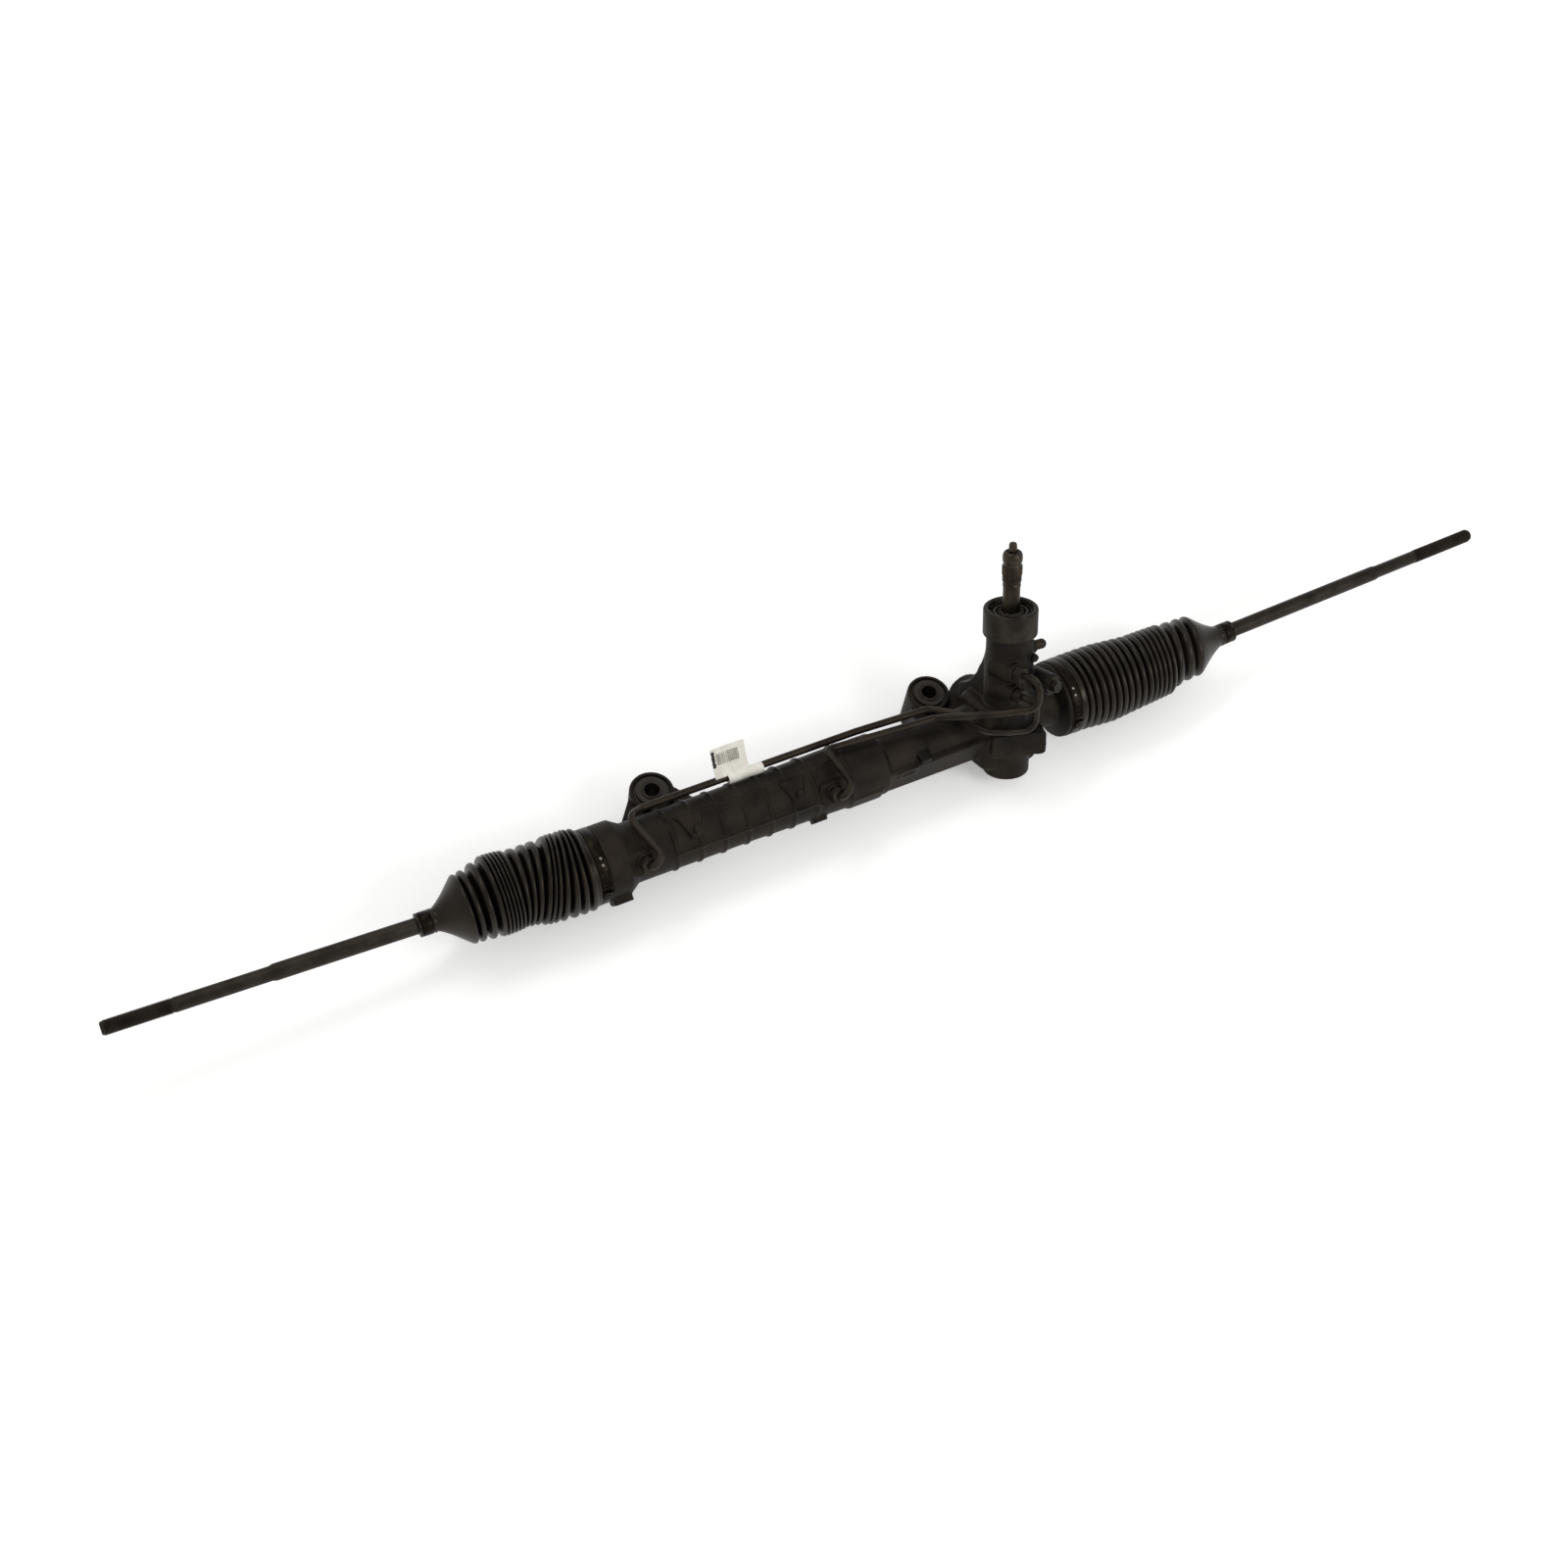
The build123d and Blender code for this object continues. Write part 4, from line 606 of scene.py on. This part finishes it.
def sheet(bm, across, rows, shape):
    """A grid of paper: `shape` gives the place of each (0..1, 0..1) point of it."""
    made = bmesh.ops.create_grid(bm, x_segments=across, y_segments=rows, size=0.5)["verts"]
    for v in made:
        v.co = shape(v.co.x + 0.5, v.co.y + 0.5)
    faces = list({f for v in made for f in v.link_faces})
    bmesh.ops.solidify(bm, geom=faces, thickness=PAPER)


def flag_point(u, v):
    """The flag stands behind the pipe and curls a little at its free corners."""
    x = FLAG_X + FLAG_WIDTH * u + 0.9 * v
    curl = 0.9 * (2 * u - 1) ** 2 * v + 0.35 * sin(5 * u + 2) * v
    off = 3.3 * (1 - v) ** 3 - 0.5 + curl
    return PIPE_AT + Vector((x, 0, 0)) + TAG_UP * (2.0 + FLAG_HEIGHT * v) + TAG_OUT * off


def loop_point(u, v):
    """The rest of the strip goes loosely round the pipe, with one torn corner."""
    x = LOOP_X + LOOP_WIDTH * u
    if v > 0.9 and u < 0.12:
        x -= 3.8 * (v - 0.9) / 0.1
    turn = radians(128 - 236 * v)
    reach = LOOP_R + 0.9 * sin(pi * v) + 0.15 * sin(9 * u)
    return PIPE_AT + Vector((x, -0.7 - reach * cos(turn), -0.5 + reach * sin(turn)))


def tag_strip():
    """The strip itself: its flag and its loop."""
    bm = bmesh.new()
    sheet(bm, 24, 16, flag_point)
    sheet(bm, 24, 40, loop_point)
    add_piece("paper_tag_strip", bm, label_paper, "housing", ("paper_tag",), crease=60)


def print_and_shade_patch(bm, u, foot, top, width):
    """A dark patch on the flag, for its print and for its painted shade, from one share of its height to
    another.
    """
    low, high = flag_point(u, foot), flag_point(u, top)
    up = (high - low).normalized()
    out = Vector((1, 0, 0)).cross(up).normalized()
    block(bm, (width, (high - low).length, INK_AND_SHADE),
          axes((low + high) / 2 + out * PAPER, Vector((1, 0, 0)), up, out))


def tag_bars():
    """A plain row of bars."""
    bm = bmesh.new()
    at = BARS_START
    for i, width in enumerate(BARS):
        if i % 2 == 0:
            print_and_shade_patch(bm, (at + width / 2) / FLAG_WIDTH, BARS_FOOT, BARS_TOP, width)
        at += width
    add_piece("paper_tag_bars", bm, faded_print, "housing", ())


def tag_edge():
    """A dark strip of painted shade down the flag's left edge."""
    bm = bmesh.new()
    for step in range(9):
        foot = 0.36 + 0.06 * step
        print_and_shade_patch(bm, 0.055 + 0.006 * sin(step * 2.3), foot, foot + 0.07, 2.6 + 0.5 * sin(step * 1.7))
    add_piece("paper_tag_edge_shade", bm, painted_edge_shade, "housing", ())


tag_strip()
tag_bars()
tag_edge()

# ------------------------------------------------- finishes of the CAD pieces
FINISH = {
    "cast_aluminium": cast_aluminium,
    "machined_steel": turned_steel,
    "dark_steel": phosphated_steel,
    "boot_rubber": boot_rubber,
    "seal_rubber": seal_rubber,
    "nylon": natural_nylon,
    "clamp_steel": band_steel,
    "pipe_steel": coated_pipe,
    "tag_paper": label_paper,
}
for entry in frame["record"]["subparts"]:
    if entry["material_slot"] in FINISH:
        shown = frame["nodes"][entry["node"]]
        for slot in shown.material_slots:
            slot.material = FINISH[entry["material_slot"]]

# --------------------------------------------------------- floor, light, camera
FLOOR_SIZE, FLOOR_GAP = 12, 0.0005      # metres; the gap is under the lowest point of the solids

# A plain white table that is a little lit from inside, so its shadows are faint.
light_table = finish_material(
    "white_light_table", {"Base Color": colour("#F4F4F2"), "Roughness": 0.8,
                          "Emission Color": (1, 1, 1, 1), "Emission Strength": 0.3})[0]
bpy.ops.mesh.primitive_plane_add(size=FLOOR_SIZE, location=(0, 0, cad_box[0][2] - FLOOR_GAP))
floor = bpy.context.object
floor.name = "studio_floor"
floor.data.materials.append(light_table)

world = bpy.context.scene.world or bpy.data.worlds.new("studio")
bpy.context.scene.world = world
world.use_nodes = True
sky = world.node_tree.nodes["Background"]
sky.inputs["Color"].default_value = (1, 1, 1, 1)
sky.inputs["Strength"].default_value = 0.62


def softbox(name, at, target, size, power):
    """An oblong area light that faces its target; sizes in metres, power in watts."""
    light = bpy.data.lights.new(name, "AREA")
    light.shape = "RECTANGLE"
    light.size, light.size_y = size
    light.energy = power
    lamp = bpy.data.objects.new(name, light)
    bpy.context.scene.collection.objects.link(lamp)
    lamp.matrix_world = Matrix.Translation(at) @ (
        (Vector(at) - Vector(target)).to_track_quat("Z", "Y").to_matrix().to_4x4())


softbox("key", (-0.3, 0.9, 1.9), (0.2, 0, 0), (1.5, 0.45), 9)
softbox("fill", (1.2, -1.5, 1.5), (0.2, 0, 0), (1.0, 0.6), 14)

# The camera's place in metres, its turn from straight in front, how far it looks down, and its roll.
CAMERA_AT = Vector((-0.4115, -0.7077, 1.2776))
CAMERA_TURN, CAMERA_DOWN, CAMERA_ROLL = radians(-37.418), radians(56.067), radians(12.559)
camera = bpy.data.cameras.new("camera")
camera.lens, camera.sensor_width, camera.clip_end = 42.5, 36.0, 20.0
viewer = bpy.data.objects.new("camera", camera)
bpy.context.scene.collection.objects.link(viewer)
viewer.matrix_world = (
    Matrix.Translation(CAMERA_AT) @ Matrix.Rotation(CAMERA_TURN, 4, "Z")
    @ Matrix.Rotation(pi / 2 - CAMERA_DOWN, 4, "X") @ Matrix.Rotation(CAMERA_ROLL, 4, "Z"))
bpy.context.scene.camera = viewer
bpy.context.scene.view_settings.view_transform = "Standard"
